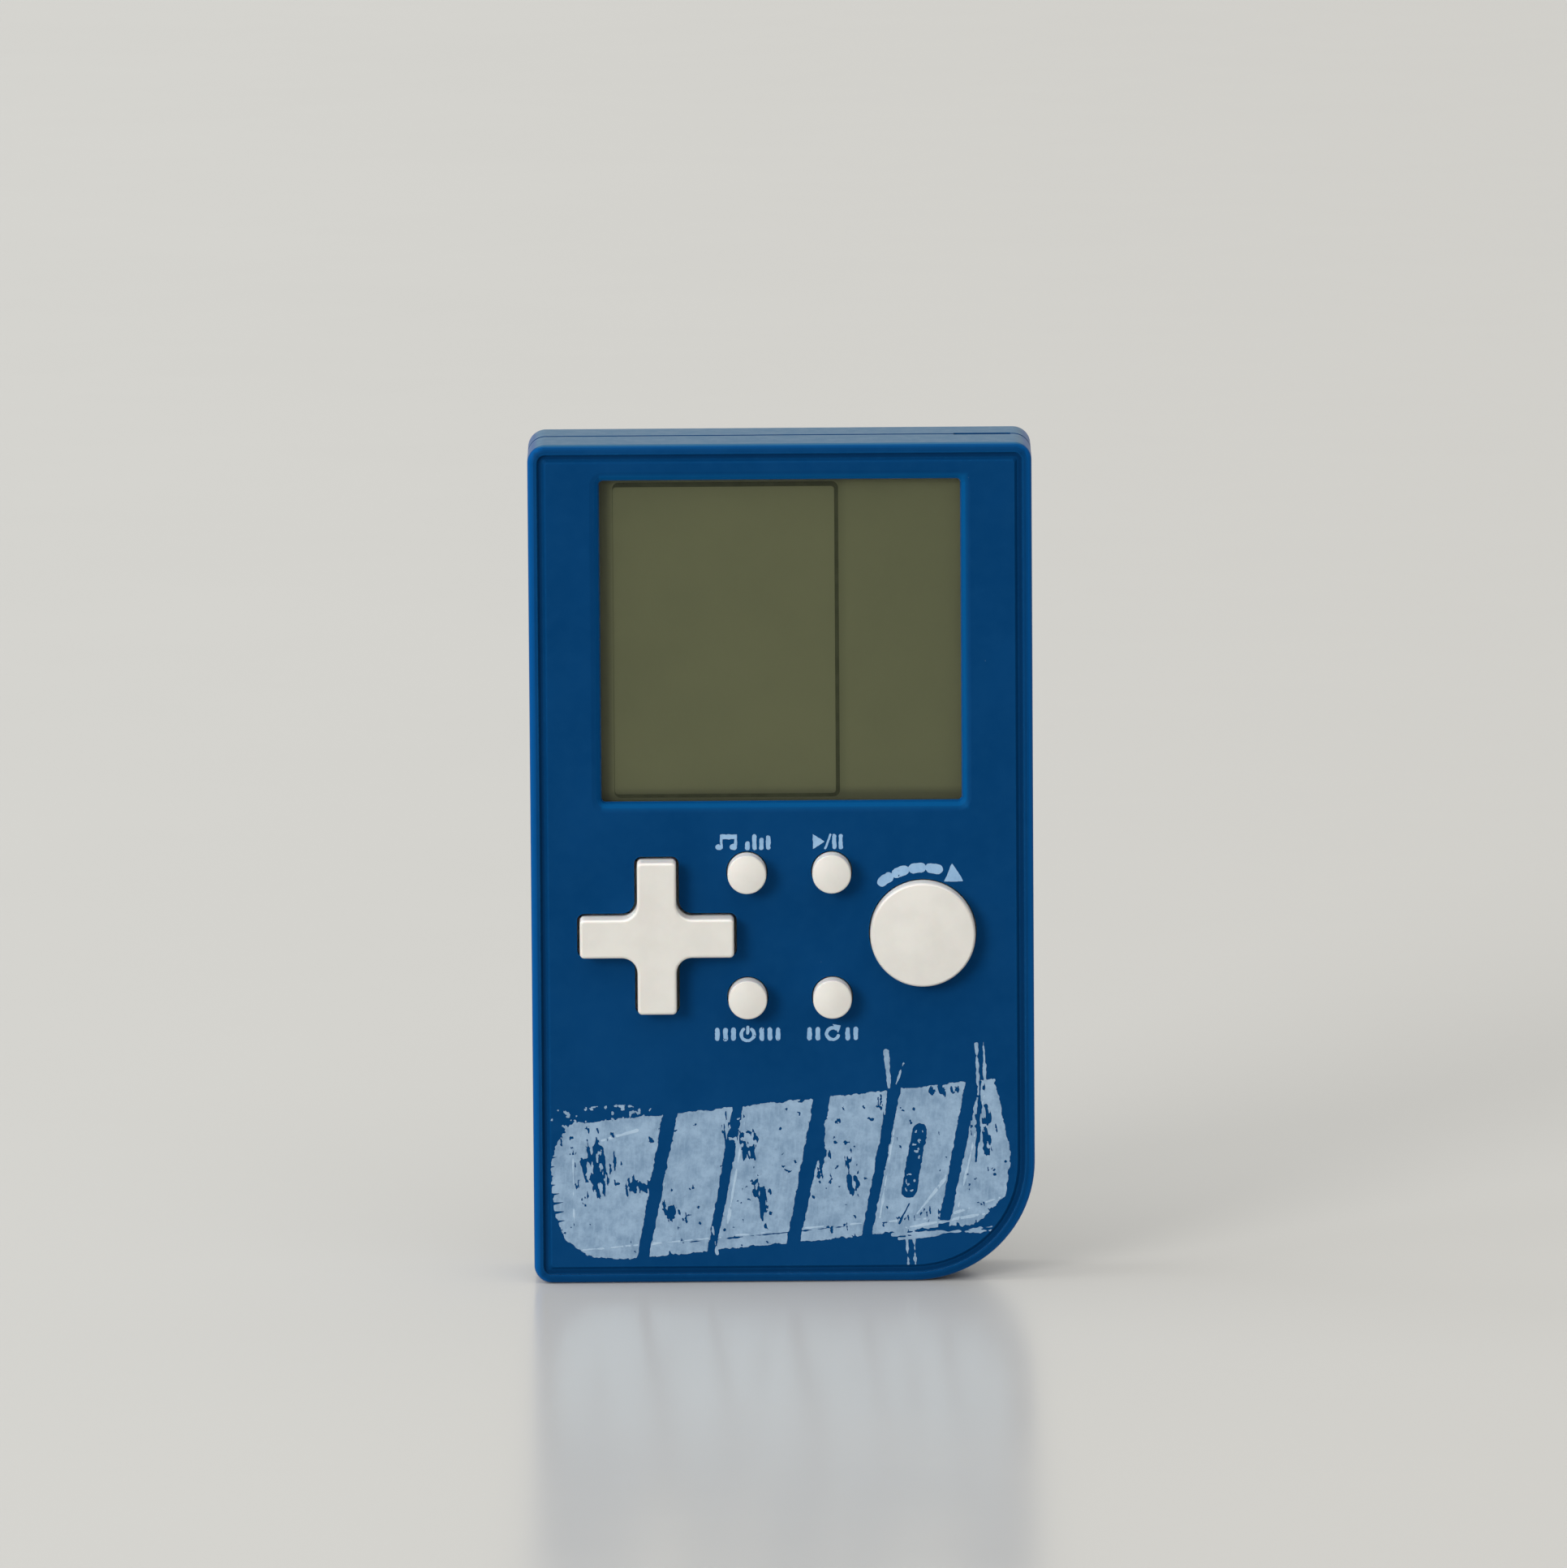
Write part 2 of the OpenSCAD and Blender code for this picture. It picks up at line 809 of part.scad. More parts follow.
module cell_upper() color("darkgreen") cell(left_plate_x + plate_t + cell_len, cell_z[1], -1);
module cell_lower() color("darkgreen") cell(right_plate_x - cell_len, cell_z[0], 1);

// The positive contact touches the upper cell's cap; its tab passes the tray's top wall
module contact_positive()
    color(steel) {
        box([left_plate_x, left_plate_x + plate_t], [-3.5, 2.2], [14.2, 23.4]);
        box([left_plate_x, left_plate_x + plate_t], [0.2, 1.6], [23, 26.4]);
    }

module contact_negative()
    color(steel) {
        box([left_plate_x, left_plate_x + plate_t], [-3.8, 4.2], [3.2, 12.2]);
        box([left_plate_x, left_plate_x + plate_t], [2.8, 4.2], [12, 26.4]);
        cell_spring(left_plate_x + plate_t, cell_z[0], 1);
    }

module contact_bridge()
    color(steel) {
        box([right_plate_x, right_plate_x + plate_t], [-3.8, 4.2], [4, 23]);
        cell_spring(right_plate_x, cell_z[1], -1);
    }

tab_x = left_plate_x + plate_t + 0.47;
board_top = board_back + 0.05;

module wire_battery_red()
    color("red")
        wire([[tab_x, 0.9, 25.7], [-25, 1.8, 26], [-21.8, 2.4, 29], [-21.8, board_top, 29]]);

module wire_battery_black()
    color("black")
        wire([[tab_x, 3.5, 25.7], [-24, 3.4, 26], [-19.2, 2.8, 29], [-19.2, board_top, 29]]);

module wire_buzzer_red()
    color("red")
        wire([[3, back_in - 2.2, 76], [7, 2.6, 70], [4, 2.4, 60], [4, board_top, 60]]);

module wire_buzzer_black()
    color("black")
        wire([[-8.4, back_in - 2, 76.5], [-10, 3, 70], [-1, 2.6, 60], [-1, board_top, 60]]);

// ---------- fasteners ----------

module case_screws()
    color(steel)
        for (at = case_screw_at)
            screw(at, head_seat_y, case_head_r, 1.4, case_shank_r, 6.5);

module board_screws()
    color(steel)
        for (at = board_screw_at)
            screw(at, board_back, board_head_r, 1, board_shank_r, 3.6);

front_shell();
rear_shell();
battery_door();
screen_lens();
lens_tape();
lcd_frame();
lcd_front_polarizer();
lcd_front_glass();
lcd_rear_glass();
lcd_reflector();
zebra_strip();
main_board();
chip_blob();
electrolytic_capacitor();
ceramic_capacitors();
resistors();
cross_key();
cross_pivot_ball();
rotate_button();
music_button();
start_button();
power_button();
reset_button();
cross_rubber();
rotate_rubber();
upper_key_rubber();
lower_key_rubber();
carbon_pills();
buzzer_disc();
buzzer_ceramic();
cell_upper();
cell_lower();
contact_positive();
contact_negative();
contact_bridge();
wire_battery_red();
wire_battery_black();
wire_buzzer_red();
wire_buzzer_black();
case_screws();
board_screws();
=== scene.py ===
"""Looks, light and camera for the handheld LCD game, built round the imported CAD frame."""

import json
import math

import bmesh
import bpy
import numpy as np
from mathutils import Matrix, Quaternion, Vector


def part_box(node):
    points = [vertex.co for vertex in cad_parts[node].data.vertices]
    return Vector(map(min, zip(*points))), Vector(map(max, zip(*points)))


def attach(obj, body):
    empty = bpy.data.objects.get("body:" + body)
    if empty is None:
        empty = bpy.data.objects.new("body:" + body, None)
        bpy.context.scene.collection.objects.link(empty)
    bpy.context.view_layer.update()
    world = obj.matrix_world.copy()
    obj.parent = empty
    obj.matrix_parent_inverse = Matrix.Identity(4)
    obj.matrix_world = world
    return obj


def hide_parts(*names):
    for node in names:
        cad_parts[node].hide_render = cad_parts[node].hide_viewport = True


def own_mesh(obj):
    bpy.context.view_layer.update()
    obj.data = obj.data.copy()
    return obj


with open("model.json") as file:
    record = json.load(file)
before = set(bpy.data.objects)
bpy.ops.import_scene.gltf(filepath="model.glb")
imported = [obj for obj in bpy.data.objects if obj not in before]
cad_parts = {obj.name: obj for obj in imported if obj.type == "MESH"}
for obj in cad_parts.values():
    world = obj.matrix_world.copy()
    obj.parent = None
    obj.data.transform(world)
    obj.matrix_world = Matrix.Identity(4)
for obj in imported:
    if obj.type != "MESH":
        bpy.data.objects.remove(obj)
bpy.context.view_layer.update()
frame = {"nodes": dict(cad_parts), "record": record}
NODES = frame["nodes"]
MM = 0.001


def box_mm(node):
    """Lowest and highest corner of a CAD node, in millimetres."""
    low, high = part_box(node)
    return low / MM, high / MM


def middle_mm(node):
    """Sideways place and height of a CAD node's middle, in millimetres."""
    low, high = box_mm(node)
    return (low.x + high.x) / 2, (low.z + high.z) / 2


CASE_LOW, CASE_HIGH = box_mm("front_shell")
FACE = CASE_LOW.y
SWEEP_R, CORNER_R = 15.0, 2.2
LENS_LOW, LENS_HIGH = box_mm("screen_lens")
LENS_LAP = 2.0
OPENING = (LENS_LOW.x + LENS_LAP, LENS_HIGH.x - LENS_LAP, LENS_LOW.z + LENS_LAP, LENS_HIGH.z - LENS_LAP)
# the frame line printed on the display runs round this rectangle; its left side is the faintest
DISPLAY_X = (-20.6, 7.2)
DISPLAY_Z = (60.6, 100.0)

# ---------- node materials ----------


class Shader:
    """Builds one node material whose textures are laid out in millimetres of object space."""

    def __init__(self, name):
        self.material = bpy.data.materials.new(name)
        self.material.use_nodes = True
        self.tree = self.material.node_tree
        self.tree.nodes.clear()
        self.out = self.tree.nodes.new("ShaderNodeOutputMaterial")
        self.place = self.add("TexCoord")
        self.mm = self.add("VectorMath", {0: self.place.outputs["Object"], "Scale": 1 / MM},
                           operation="SCALE").outputs[0]
        self.axes = self.add("SeparateXYZ", {0: self.mm}).outputs

    def add(self, kind, inputs=None, **settings):
        node = self.tree.nodes.new("ShaderNode" + kind)
        for key, value in settings.items():
            setattr(node, key, value)
        for key, value in (inputs or {}).items():
            if isinstance(value, bpy.types.NodeSocket):
                self.tree.links.new(value, node.inputs[key])
            else:
                node.inputs[key].default_value = value
        return node

    def math(self, operation, a, b=0.0):
        return self.add("Math", {0: a, 1: b}, operation=operation).outputs[0]

    def times(self, first, *others):
        for other in others:
            first = self.math("MULTIPLY", first, other)
        return first

    def stretch(self, x, y, z):
        """Texture coordinates with their own scale on each axis."""
        return self.add("VectorMath", {0: self.mm, 1: (x, y, z)}, operation="MULTIPLY").outputs[0]

    def noise(self, scale, detail=3.0, rough=0.55, vector=None):
        node = self.add("TexNoise", {"Vector": vector or self.mm, "Scale": scale,
                                     "Detail": detail, "Roughness": rough})
        return node.outputs["Fac"]

    def span(self, value, low, high, to_low=0.0, to_high=1.0):
        """Maps low..high to to_low..to_high with soft ends."""
        node = self.add("MapRange", {0: value, 1: low, 2: high, 3: to_low, 4: to_high},
                        interpolation_type="SMOOTHSTEP")
        return node.outputs[0]

    def mix(self, share, a, b):
        node = self.add("Mix", data_type="RGBA")
        for index, value in ((0, share), (6, a), (7, b)):
            if isinstance(value, bpy.types.NodeSocket):
                self.tree.links.new(value, node.inputs[index])
            else:
                node.inputs[index].default_value = (*value, 1) if index else value
        return node.outputs[2]

    def bump(self, height, depth_mm, strength=1.0, normal=None):
        inputs = {"Height": height, "Distance": depth_mm * MM, "Strength": strength}
        if normal:
            inputs["Normal"] = normal
        return self.add("Bump", inputs).outputs[0]

    def specks(self, per_mm, size, chance, seed=0.0):
        """Sparse round specks: 1 inside a speck, 0 elsewhere."""
        vector = self.add("VectorMath", {0: self.mm, 1: (seed, seed, seed)}, operation="ADD").outputs[0]
        cells = self.add("TexVoronoi", {"Vector": vector, "Scale": per_mm})
        pick = self.add("SeparateColor", {0: cells.outputs["Color"]}).outputs
        radius = self.times(pick[1], size * per_mm)
        near = self.math("LESS_THAN", cells.outputs["Distance"], radius)
        return self.times(near, self.math("LESS_THAN", pick[0], chance))

    def off_rectangle(self, x0, x1, z0, z1):
        """Distance in X and Z from a rectangle; negative inside it."""
        reach = []
        for axis, low, high in ((0, x0, x1), (2, z0, z1)):
            off = self.math("ABSOLUTE", self.math("SUBTRACT", self.axes[axis], (low + high) / 2))
            reach.append(self.math("SUBTRACT", off, (high - low) / 2))
        return self.math("MAXIMUM", *reach)

    def inset(self):
        """Distance inside the case outline, seen from the front, with its one swept corner."""
        outside = self.off_rectangle(CASE_LOW.x, CASE_HIGH.x, CASE_LOW.z, CASE_HIGH.z)
        x = self.math("MAXIMUM", self.math("SUBTRACT", self.axes[0], CASE_HIGH.x - SWEEP_R))
        z = self.math("MAXIMUM", self.math("SUBTRACT", CASE_LOW.z + SWEEP_R, self.axes[2]))
        reach = self.math("SQRT", self.math("ADD", self.times(x, x), self.times(z, z)))
        return self.times(self.math("MAXIMUM", outside, self.math("SUBTRACT", reach, SWEEP_R)), -1)

    def edge_for_wear_and_highlight(self, radius_mm):
        """1 on outside and inside edges, 0 on open surfaces."""
        soft = self.add("Bevel", {"Radius": radius_mm * MM}, samples=4).outputs[0]
        sharp = self.add("NewGeometry").outputs["Normal"]
        dot = self.add("VectorMath", {0: soft, 1: sharp}, operation="DOT_PRODUCT").outputs["Value"]
        return self.span(dot, 0.995, 0.8)

    def surface(self, colour, rough, **more):
        """Principled surface as the result; more holds other inputs by the short names below."""
        inputs = {"Base Color": colour if isinstance(colour, bpy.types.NodeSocket) else (*colour, 1),
                  "Roughness": rough}
        names = {"metallic": "Metallic", "normal": "Normal", "specular": "Specular IOR Level",
                 "coat": "Coat Weight", "scatter": "Subsurface Weight",
                 "scatter_size": "Subsurface Scale", "through": "Transmission Weight"}
        for key, value in more.items():
            inputs[names[key]] = value
        shader = self.add("BsdfPrincipled", inputs)
        self.tree.links.new(shader.outputs[0], self.out.inputs["Surface"])
        return self.material


# the case's blues, each for what it colours; the round, side, top, lip and edge blues are painted light, the
# groove blue painted shade
BLUE = {"dark": (0.0008, 0.0355, 0.122), "light": (0.0016, 0.0406, 0.136), "patch": (0.0030, 0.0470, 0.145),
        "round": (0.0010, 0.0700, 0.235), "side": (0.0008, 0.0830, 0.300), "top": (0.042, 0.140, 0.245),
        "lip": (0.0012, 0.0760, 0.225), "groove": (0.0002, 0.0160, 0.060), "edge": (0.0015, 0.0780, 0.245),
        "rubbed": (0.015, 0.13, 0.31), "hair": (0.01, 0.09, 0.21), "dust": (0.18, 0.30, 0.42)}


def case_plastic():
    s = Shader("case_blue_plastic")
    patch = s.noise(0.55, 5, 0.65)
    base = s.mix(s.span(s.noise(0.09, 4), 0.3, 0.7), BLUE["dark"], BLUE["light"])
    base = s.mix(s.span(patch, 0.35, 0.75, 0, 0.35), base, BLUE["patch"])

    # painted light: rounded and side faces are painted a lighter blue than flat ones, as if they catch more
    # light, apart from the groove's slope
    normals = s.add("SeparateXYZ", {0: s.place.outputs["Normal"]}).outputs
    inset = s.inset()
    front = s.math("LESS_THAN", s.axes[1], FACE + 0.6)
    outer = s.span(inset, 1.0, 0.6)
    slope = s.times(front, s.span(inset, 1.4, 1.7), s.span(inset, 2.7, 2.3))
    turned = s.span(s.math("ABSOLUTE", normals[1]), 0.985, 0.55, 0, 0.8)
    base = s.mix(s.times(turned, s.math("SUBTRACT", 1.0, slope)), base, BLUE["round"])
    # painted light: faces turned to the right, and on the front the roundings that face left, are painted a
    # brighter blue, as lit from the side
    base = s.mix(s.times(outer, s.span(normals[0], 0.1, 0.7, 0, 0.7)), base, BLUE["side"])
    base = s.mix(s.times(outer, front, s.span(normals[0], -0.02, -0.4, 0, 0.35)), base, BLUE["side"])
    # painted highlight: faces turned up are painted pale, for light from above and the pale surroundings
    # mirrored in them
    base = s.mix(s.times(outer, s.span(normals[2], 0.75, 0.95, 0, 0.85)), base, BLUE["top"])

    # painted highlight: the rounded lip of the screen opening is painted a brighter blue where light catches
    # it; its left side stays in shade and is left unpainted
    lip = s.times(front, s.span(s.off_rectangle(*OPENING), 1.15, 0.35, 0, 0.6),
                  s.math("GREATER_THAN", s.axes[0], OPENING[0]))
    base = s.mix(lip, base, BLUE["lip"])
    # the groove round the front face lies in its own shade
    groove = s.times(front, s.span(inset, 1.0, 1.35), s.span(inset, 2.0, 1.6), 0.5)
    base = s.mix(groove, base, BLUE["groove"])

    # painted highlight: every edge is painted a brighter blue, as lit; then wear: rubbed edges, hair
    # scratches and dust
    edge = s.edge_for_wear_and_highlight(0.4)
    base = s.mix(s.times(edge, 0.45), base, BLUE["edge"])
    base = s.mix(s.times(edge, s.span(s.noise(1.4, 4), 0.5, 0.72, 0, 0.22)), base, BLUE["rubbed"])
    hair = s.noise(1.0, 2, 0.5, s.stretch(9, 9, 0.35))
    base = s.mix(s.span(hair, 0.72, 0.80, 0, 0.15), base, BLUE["hair"])
    dust = s.math("MAXIMUM", s.specks(0.22, 0.09, 0.30), s.specks(0.5, 0.055, 0.12, 7.0))
    base = s.mix(s.times(dust, 0.30), base, BLUE["dust"])

    rough = s.math("ADD", s.span(patch, 0.3, 0.7, 0.40, 0.50), s.times(dust, 0.3))
    grain = s.math("ADD", s.noise(5.5, 3, 0.6), s.times(s.noise(1.1, 2), 1.5))
    soft = s.add("Bevel", {"Radius": 0.15 * MM}, samples=4).outputs[0]
    facing = s.add("LayerWeight", {"Blend": 0.5}).outputs["Facing"]
    # the fine grain shines only at a low angle, as on the top face in the photo
    return s.surface(base, rough, normal=s.bump(grain, 0.012, 0.55, soft),
                     specular=s.span(facing, 0.68, 0.88, 0.02, 0.7))


def key_plastic():
    s = Shader("key_ivory_plastic")
    base = s.mix(s.span(s.noise(0.25, 4), 0.3, 0.7), (0.600, 0.586, 0.556), (0.638, 0.624, 0.592))
    grime = s.times(s.span(s.noise(2.2, 4, 0.7), 0.52, 0.74), 0.08)
    base = s.mix(grime, base, (0.66, 0.60, 0.49))
    base = s.mix(s.times(s.specks(0.9, 0.05, 0.10), 0.45), base, (0.35, 0.30, 0.22))
    # the middle of each dome is a fan of slivers, so it takes its facets' own direction
    facet = s.add("NewGeometry").outputs["True Normal"]
    flat = s.math("LESS_THAN", s.add("SeparateXYZ", {0: facet}).outputs[1], -0.9994)
    # light from the panel and the other keys fills the upper sides
    upper = s.add("SeparateXYZ", {0: s.place.outputs["Normal"]}).outputs[2]
    upper = s.times(upper, s.math("SUBTRACT", 1.0, flat))
    base = s.mix(s.span(upper, 0.15, 0.75, 0, 0.9), base, (0.84, 0.82, 0.79))
    rough = s.span(s.noise(1.5, 4), 0.3, 0.7, 0.36, 0.48)
    soft = s.add("Bevel", {"Radius": 0.3 * MM}, samples=4).outputs[0]
    normal = s.bump(s.noise(4.5, 3, 0.6), 0.012, 0.5, s.mix(flat, soft, facet))
    return s.surface(base, rough, normal=normal, scatter=0.12, scatter_size=0.0012)


def clear_lens():
    """Clear acrylic that lets light through to the display, with a soft reflection."""
    s = Shader("lens_acrylic")
    scuff = s.span(s.noise(1.0, 3, 0.6, s.stretch(6, 6, 0.5)), 0.66, 0.78)
    rough = s.math("ADD", s.times(scuff, 0.2), 0.06)
    normal = s.bump(s.noise(0.12, 1), 0.02, 0.3)
    clear = s.add("BsdfTransparent", {0: (0.93, 0.95, 0.92, 1)}).outputs[0]
    gloss = s.add("BsdfGlossy", {"Color": (1, 1, 1, 1), "Roughness": rough, "Normal": normal}).outputs[0]
    fresnel = s.add("Fresnel", {"IOR": 1.49, "Normal": normal}).outputs[0]
    share = s.times(s.math("ADD", fresnel, s.times(scuff, 0.004)), 0.35)
    # light is not bent in here, so the way out of the lens would mirror far too much
    inner = s.add("NewGeometry").outputs["Backfacing"]
    share = s.times(share, s.math("SUBTRACT", 1.0, inner))
    result = s.add("MixShader", {0: share, 1: clear, 2: gloss}).outputs[0]
    s.tree.links.new(result, s.out.inputs["Surface"])
    return s.material


def display_film():
    s = Shader("display_olive_film")
    base = s.mix(s.span(s.noise(0.05, 3), 0.3, 0.7), (0.099, 0.0975, 0.0553), (0.110, 0.1073, 0.061))
    weave = s.add("TexWave", {"Vector": s.mm, "Scale": 2.4, "Distortion": 1.5, "Detail": 2.0},
                  bands_direction="DIAGONAL").outputs["Fac"]
    base = s.mix(s.span(weave, 0.2, 0.8, 0.0, 0.06), base, (0.10, 0.11, 0.05))
    # painted shadow: the film is painted a little darker just outside the frame line, as the shadow cast by
    # the display sheet's edge, but not on its left
    outside = s.off_rectangle(-40, DISPLAY_X[1], *DISPLAY_Z)
    near = s.times(s.math("GREATER_THAN", outside, -0.1), s.span(outside, 1.3, 0.0))
    base = s.mix(s.times(near, 0.45), base, (0.060, 0.062, 0.032))
    # the opening's lower and left walls shade the film
    shade = s.math("MAXIMUM", s.span(s.axes[2], OPENING[2] + 1.7, OPENING[2] + 0.5, 0, 0.65),
                   s.span(s.axes[0], OPENING[0] + 1.9, OPENING[0] + 0.8, 0, 0.38))
    base = s.mix(shade, base, (0.040, 0.040, 0.024))
    base = s.mix(s.times(s.specks(0.35, 0.05, 0.2, 3.0), 0.3), base, (0.35, 0.36, 0.27))
    rough = s.span(s.noise(0.6, 3), 0.3, 0.7, 0.5, 0.62)
    return s.surface(base, rough, specular=0.15, normal=s.bump(s.noise(7, 2), 0.004, 0.4))


def display_glass():
    s = Shader("display_glass")
    tint = s.mix(s.noise(0.2, 2), (0.62, 0.70, 0.62), (0.68, 0.75, 0.67))
    rough = s.span(s.noise(0.5, 3), 0.3, 0.7, 0.08, 0.16)
    return s.surface(tint, rough, through=0.8, normal=s.bump(s.noise(0.3, 2), 0.01, 0.3))


def metal(name, dark, light, rough, along, specks=0.1):
    """Plated or rolled metal with a fine grain; along gives the stretch of the grain."""
    s = Shader(name)
    grain = s.noise(1.0, 4, 0.6, s.stretch(*along))
    base = s.mix(s.span(grain, 0.3, 0.7), dark, light)
    stain = s.span(s.noise(0.35, 4, 0.6), 0.55, 0.75, 0, 0.2)
    base = s.mix(stain, base, tuple(0.6 * c for c in dark))
    base = s.mix(s.times(s.specks(1.2, 0.1, specks), 0.6), base, tuple(0.3 * c for c in dark))
    roughness = s.math("ADD", s.span(grain, 0.3, 0.7, rough, rough + 0.12), stain)
    return s.surface(base, roughness, metallic=0.9, normal=s.bump(grain, 0.006, 0.4))


def soft_rubber():
    s = Shader("silicone_rubber")
    base = s.mix(s.span(s.noise(0.4, 3), 0.3, 0.7), (0.62, 0.62, 0.60), (0.70, 0.70, 0.68))
    base = s.mix(s.span(s.noise(3.5, 3), 0.62, 0.75, 0, 0.3), base, (0.82, 0.82, 0.80))
    return s.surface(base, s.span(s.noise(2, 3), 0.3, 0.7, 0.45, 0.6), scatter=0.4, scatter_size=0.002,
                     normal=s.bump(s.noise(6, 3), 0.01, 0.4))


def circuit_board():
    """Solder mask over copper tracks, with plated pads."""
    s = Shader("circuit_board")
    bricks = s.add("TexBrick", {"Vector": s.add("CombineXYZ", {0: s.axes[0], 1: s.axes[2]}).outputs[0],
                                "Scale": 0.33, "Mortar Size": 0.045, "Brick Width": 1.6,
                                "Row Height": 0.5}).outputs["Fac"]
    mask = s.mix(s.noise(0.6, 4), (0.010, 0.085, 0.035), (0.018, 0.120, 0.050))
    base = s.mix(s.times(bricks, 0.55), mask, (0.05, 0.26, 0.10))
    pads = s.specks(0.32, 0.7, 0.35, 2.0)
    base = s.mix(pads, base, (0.62, 0.62, 0.58))
    height = s.math("ADD", s.times(bricks, 0.6), pads)
    return s.surface(base, s.span(s.noise(2, 3), 0.3, 0.7, 0.22, 0.34), metallic=pads,
                     normal=s.bump(height, 0.03, 0.6))


def cell_wrap():
    """Printed film round a cell: dark green body with a pale shoulder and ring, bare steel ends."""
    s = Shader("cell_wrap")
    # places along a cell, from its positive end
    cap_end, shoulder_end, ring_at, foot_start = 1.05, 9.5, 11.4, 44.1
    low, high = box_mm("cell_lower")
    upper_low, upper_high = box_mm("cell_upper")
    is_upper = s.math("GREATER_THAN", s.axes[2], (low.z + upper_high.z) / 2)
    from_plus_lower = s.math("SUBTRACT", high.x, s.axes[0])
    from_plus_upper = s.math("SUBTRACT", s.axes[0], upper_low.x)
    along = s.add("Mix", {0: is_upper, 2: from_plus_lower, 3: from_plus_upper}).outputs[0]
    film = s.mix(s.span(s.noise(0.7, 3), 0.3, 0.7), (0.010, 0.085, 0.075), (0.016, 0.110, 0.095))
    pale = s.mix(s.noise(1.0, 3), (0.58, 0.60, 0.57), (0.68, 0.70, 0.66))
    ring = s.math("LESS_THAN", s.math("ABSOLUTE", s.math("SUBTRACT", along, ring_at)), 0.3)
    shoulder = s.math("LESS_THAN", along, shoulder_end)
    base = s.mix(s.math("MAXIMUM", ring, shoulder), film, pale)
    steel = s.mix(s.noise(2.0, 3), (0.50, 0.50, 0.49), (0.66, 0.66, 0.64))
    bare = s.math("MAXIMUM", s.math("LESS_THAN", along, cap_end),
                  s.math("GREATER_THAN", along, foot_start))
    base = s.mix(bare, base, steel)
    scratch = s.span(s.noise(1.0, 2, 0.5, s.stretch(0.3, 7, 7)), 0.70, 0.80, 0, 0.5)
    base = s.mix(scratch, base, (0.45, 0.46, 0.44))
    return s.surface(base, s.span(s.noise(1.5, 3), 0.3, 0.7, 0.24, 0.36), metallic=bare,
                     normal=s.bump(s.noise(2.5, 2), 0.01, 0.3))


def plain(name, dark, light, rough, grain_scale=3.0, **more):
    """Moulded, dipped or printed stuff with a mottled colour and a fine grain."""
    s = Shader(name)
    base = s.mix(s.span(s.noise(0.6, 4), 0.3, 0.7), dark, light)
    tone = tuple(0.55 * c for c in dark)
    base = s.mix(s.span(s.noise(grain_scale, 4, 0.7), 0.60, 0.78, 0, 0.3), base, tone)
    return s.surface(base, s.span(s.noise(1.8, 3), 0.3, 0.7, rough, rough + 0.12),
                     normal=s.bump(s.noise(grain_scale * 1.5, 3), 0.012, 0.5), **more)


def resistor_bands():
    """Beige lacquer with colour rings round each body."""
    s = Shader("resistor_body")
    base = s.mix(s.noise(1.5, 3), (0.55, 0.40, 0.22), (0.66, 0.50, 0.30))
    ring = s.add("TexWave", {"Vector": s.stretch(1, 0, 0), "Scale": 0.42}, bands_direction="X")
    base = s.mix(s.span(ring.outputs["Fac"], 0.72, 0.80), base, (0.20, 0.05, 0.03))
    return s.surface(base, s.span(s.noise(3, 2), 0.3, 0.7, 0.28, 0.4),
                     normal=s.bump(s.noise(4, 2), 0.01, 0.4))


def worn_ink(name, dark, light, spot):
    """Screen-printed ink: brushed tone, thin places and a few bright chips."""
    s = Shader(name)
    lean = s.add("VectorRotate", {"Vector": s.mm, "Axis": (0, 1, 0), "Angle": math.radians(-5)})
    brush = s.add("VectorMath", {0: lean.outputs[0], 1: (3.0, 1, 0.5)}, operation="MULTIPLY").outputs[0]
    base = s.mix(s.span(s.noise(0.45, 5, 0.7), 0.3, 0.7), dark, light)
    base = s.mix(s.span(s.noise(1.0, 4, 0.6, brush), 0.42, 0.72, 0, 0.55), base, light)
    base = s.mix(s.span(s.noise(2.6, 4, 0.75), 0.56, 0.72, 0, 0.28), base, tuple(0.45 * c for c in dark))
    base = s.mix(s.times(s.specks(0.35, 0.22, 0.10, 5.0), 0.8), base, spot)
    return s.surface(base, s.span(s.noise(2, 3), 0.3, 0.7, 0.42, 0.58), specular=0.3,
                     normal=s.bump(s.noise(3.5, 4), 0.015, 0.6))


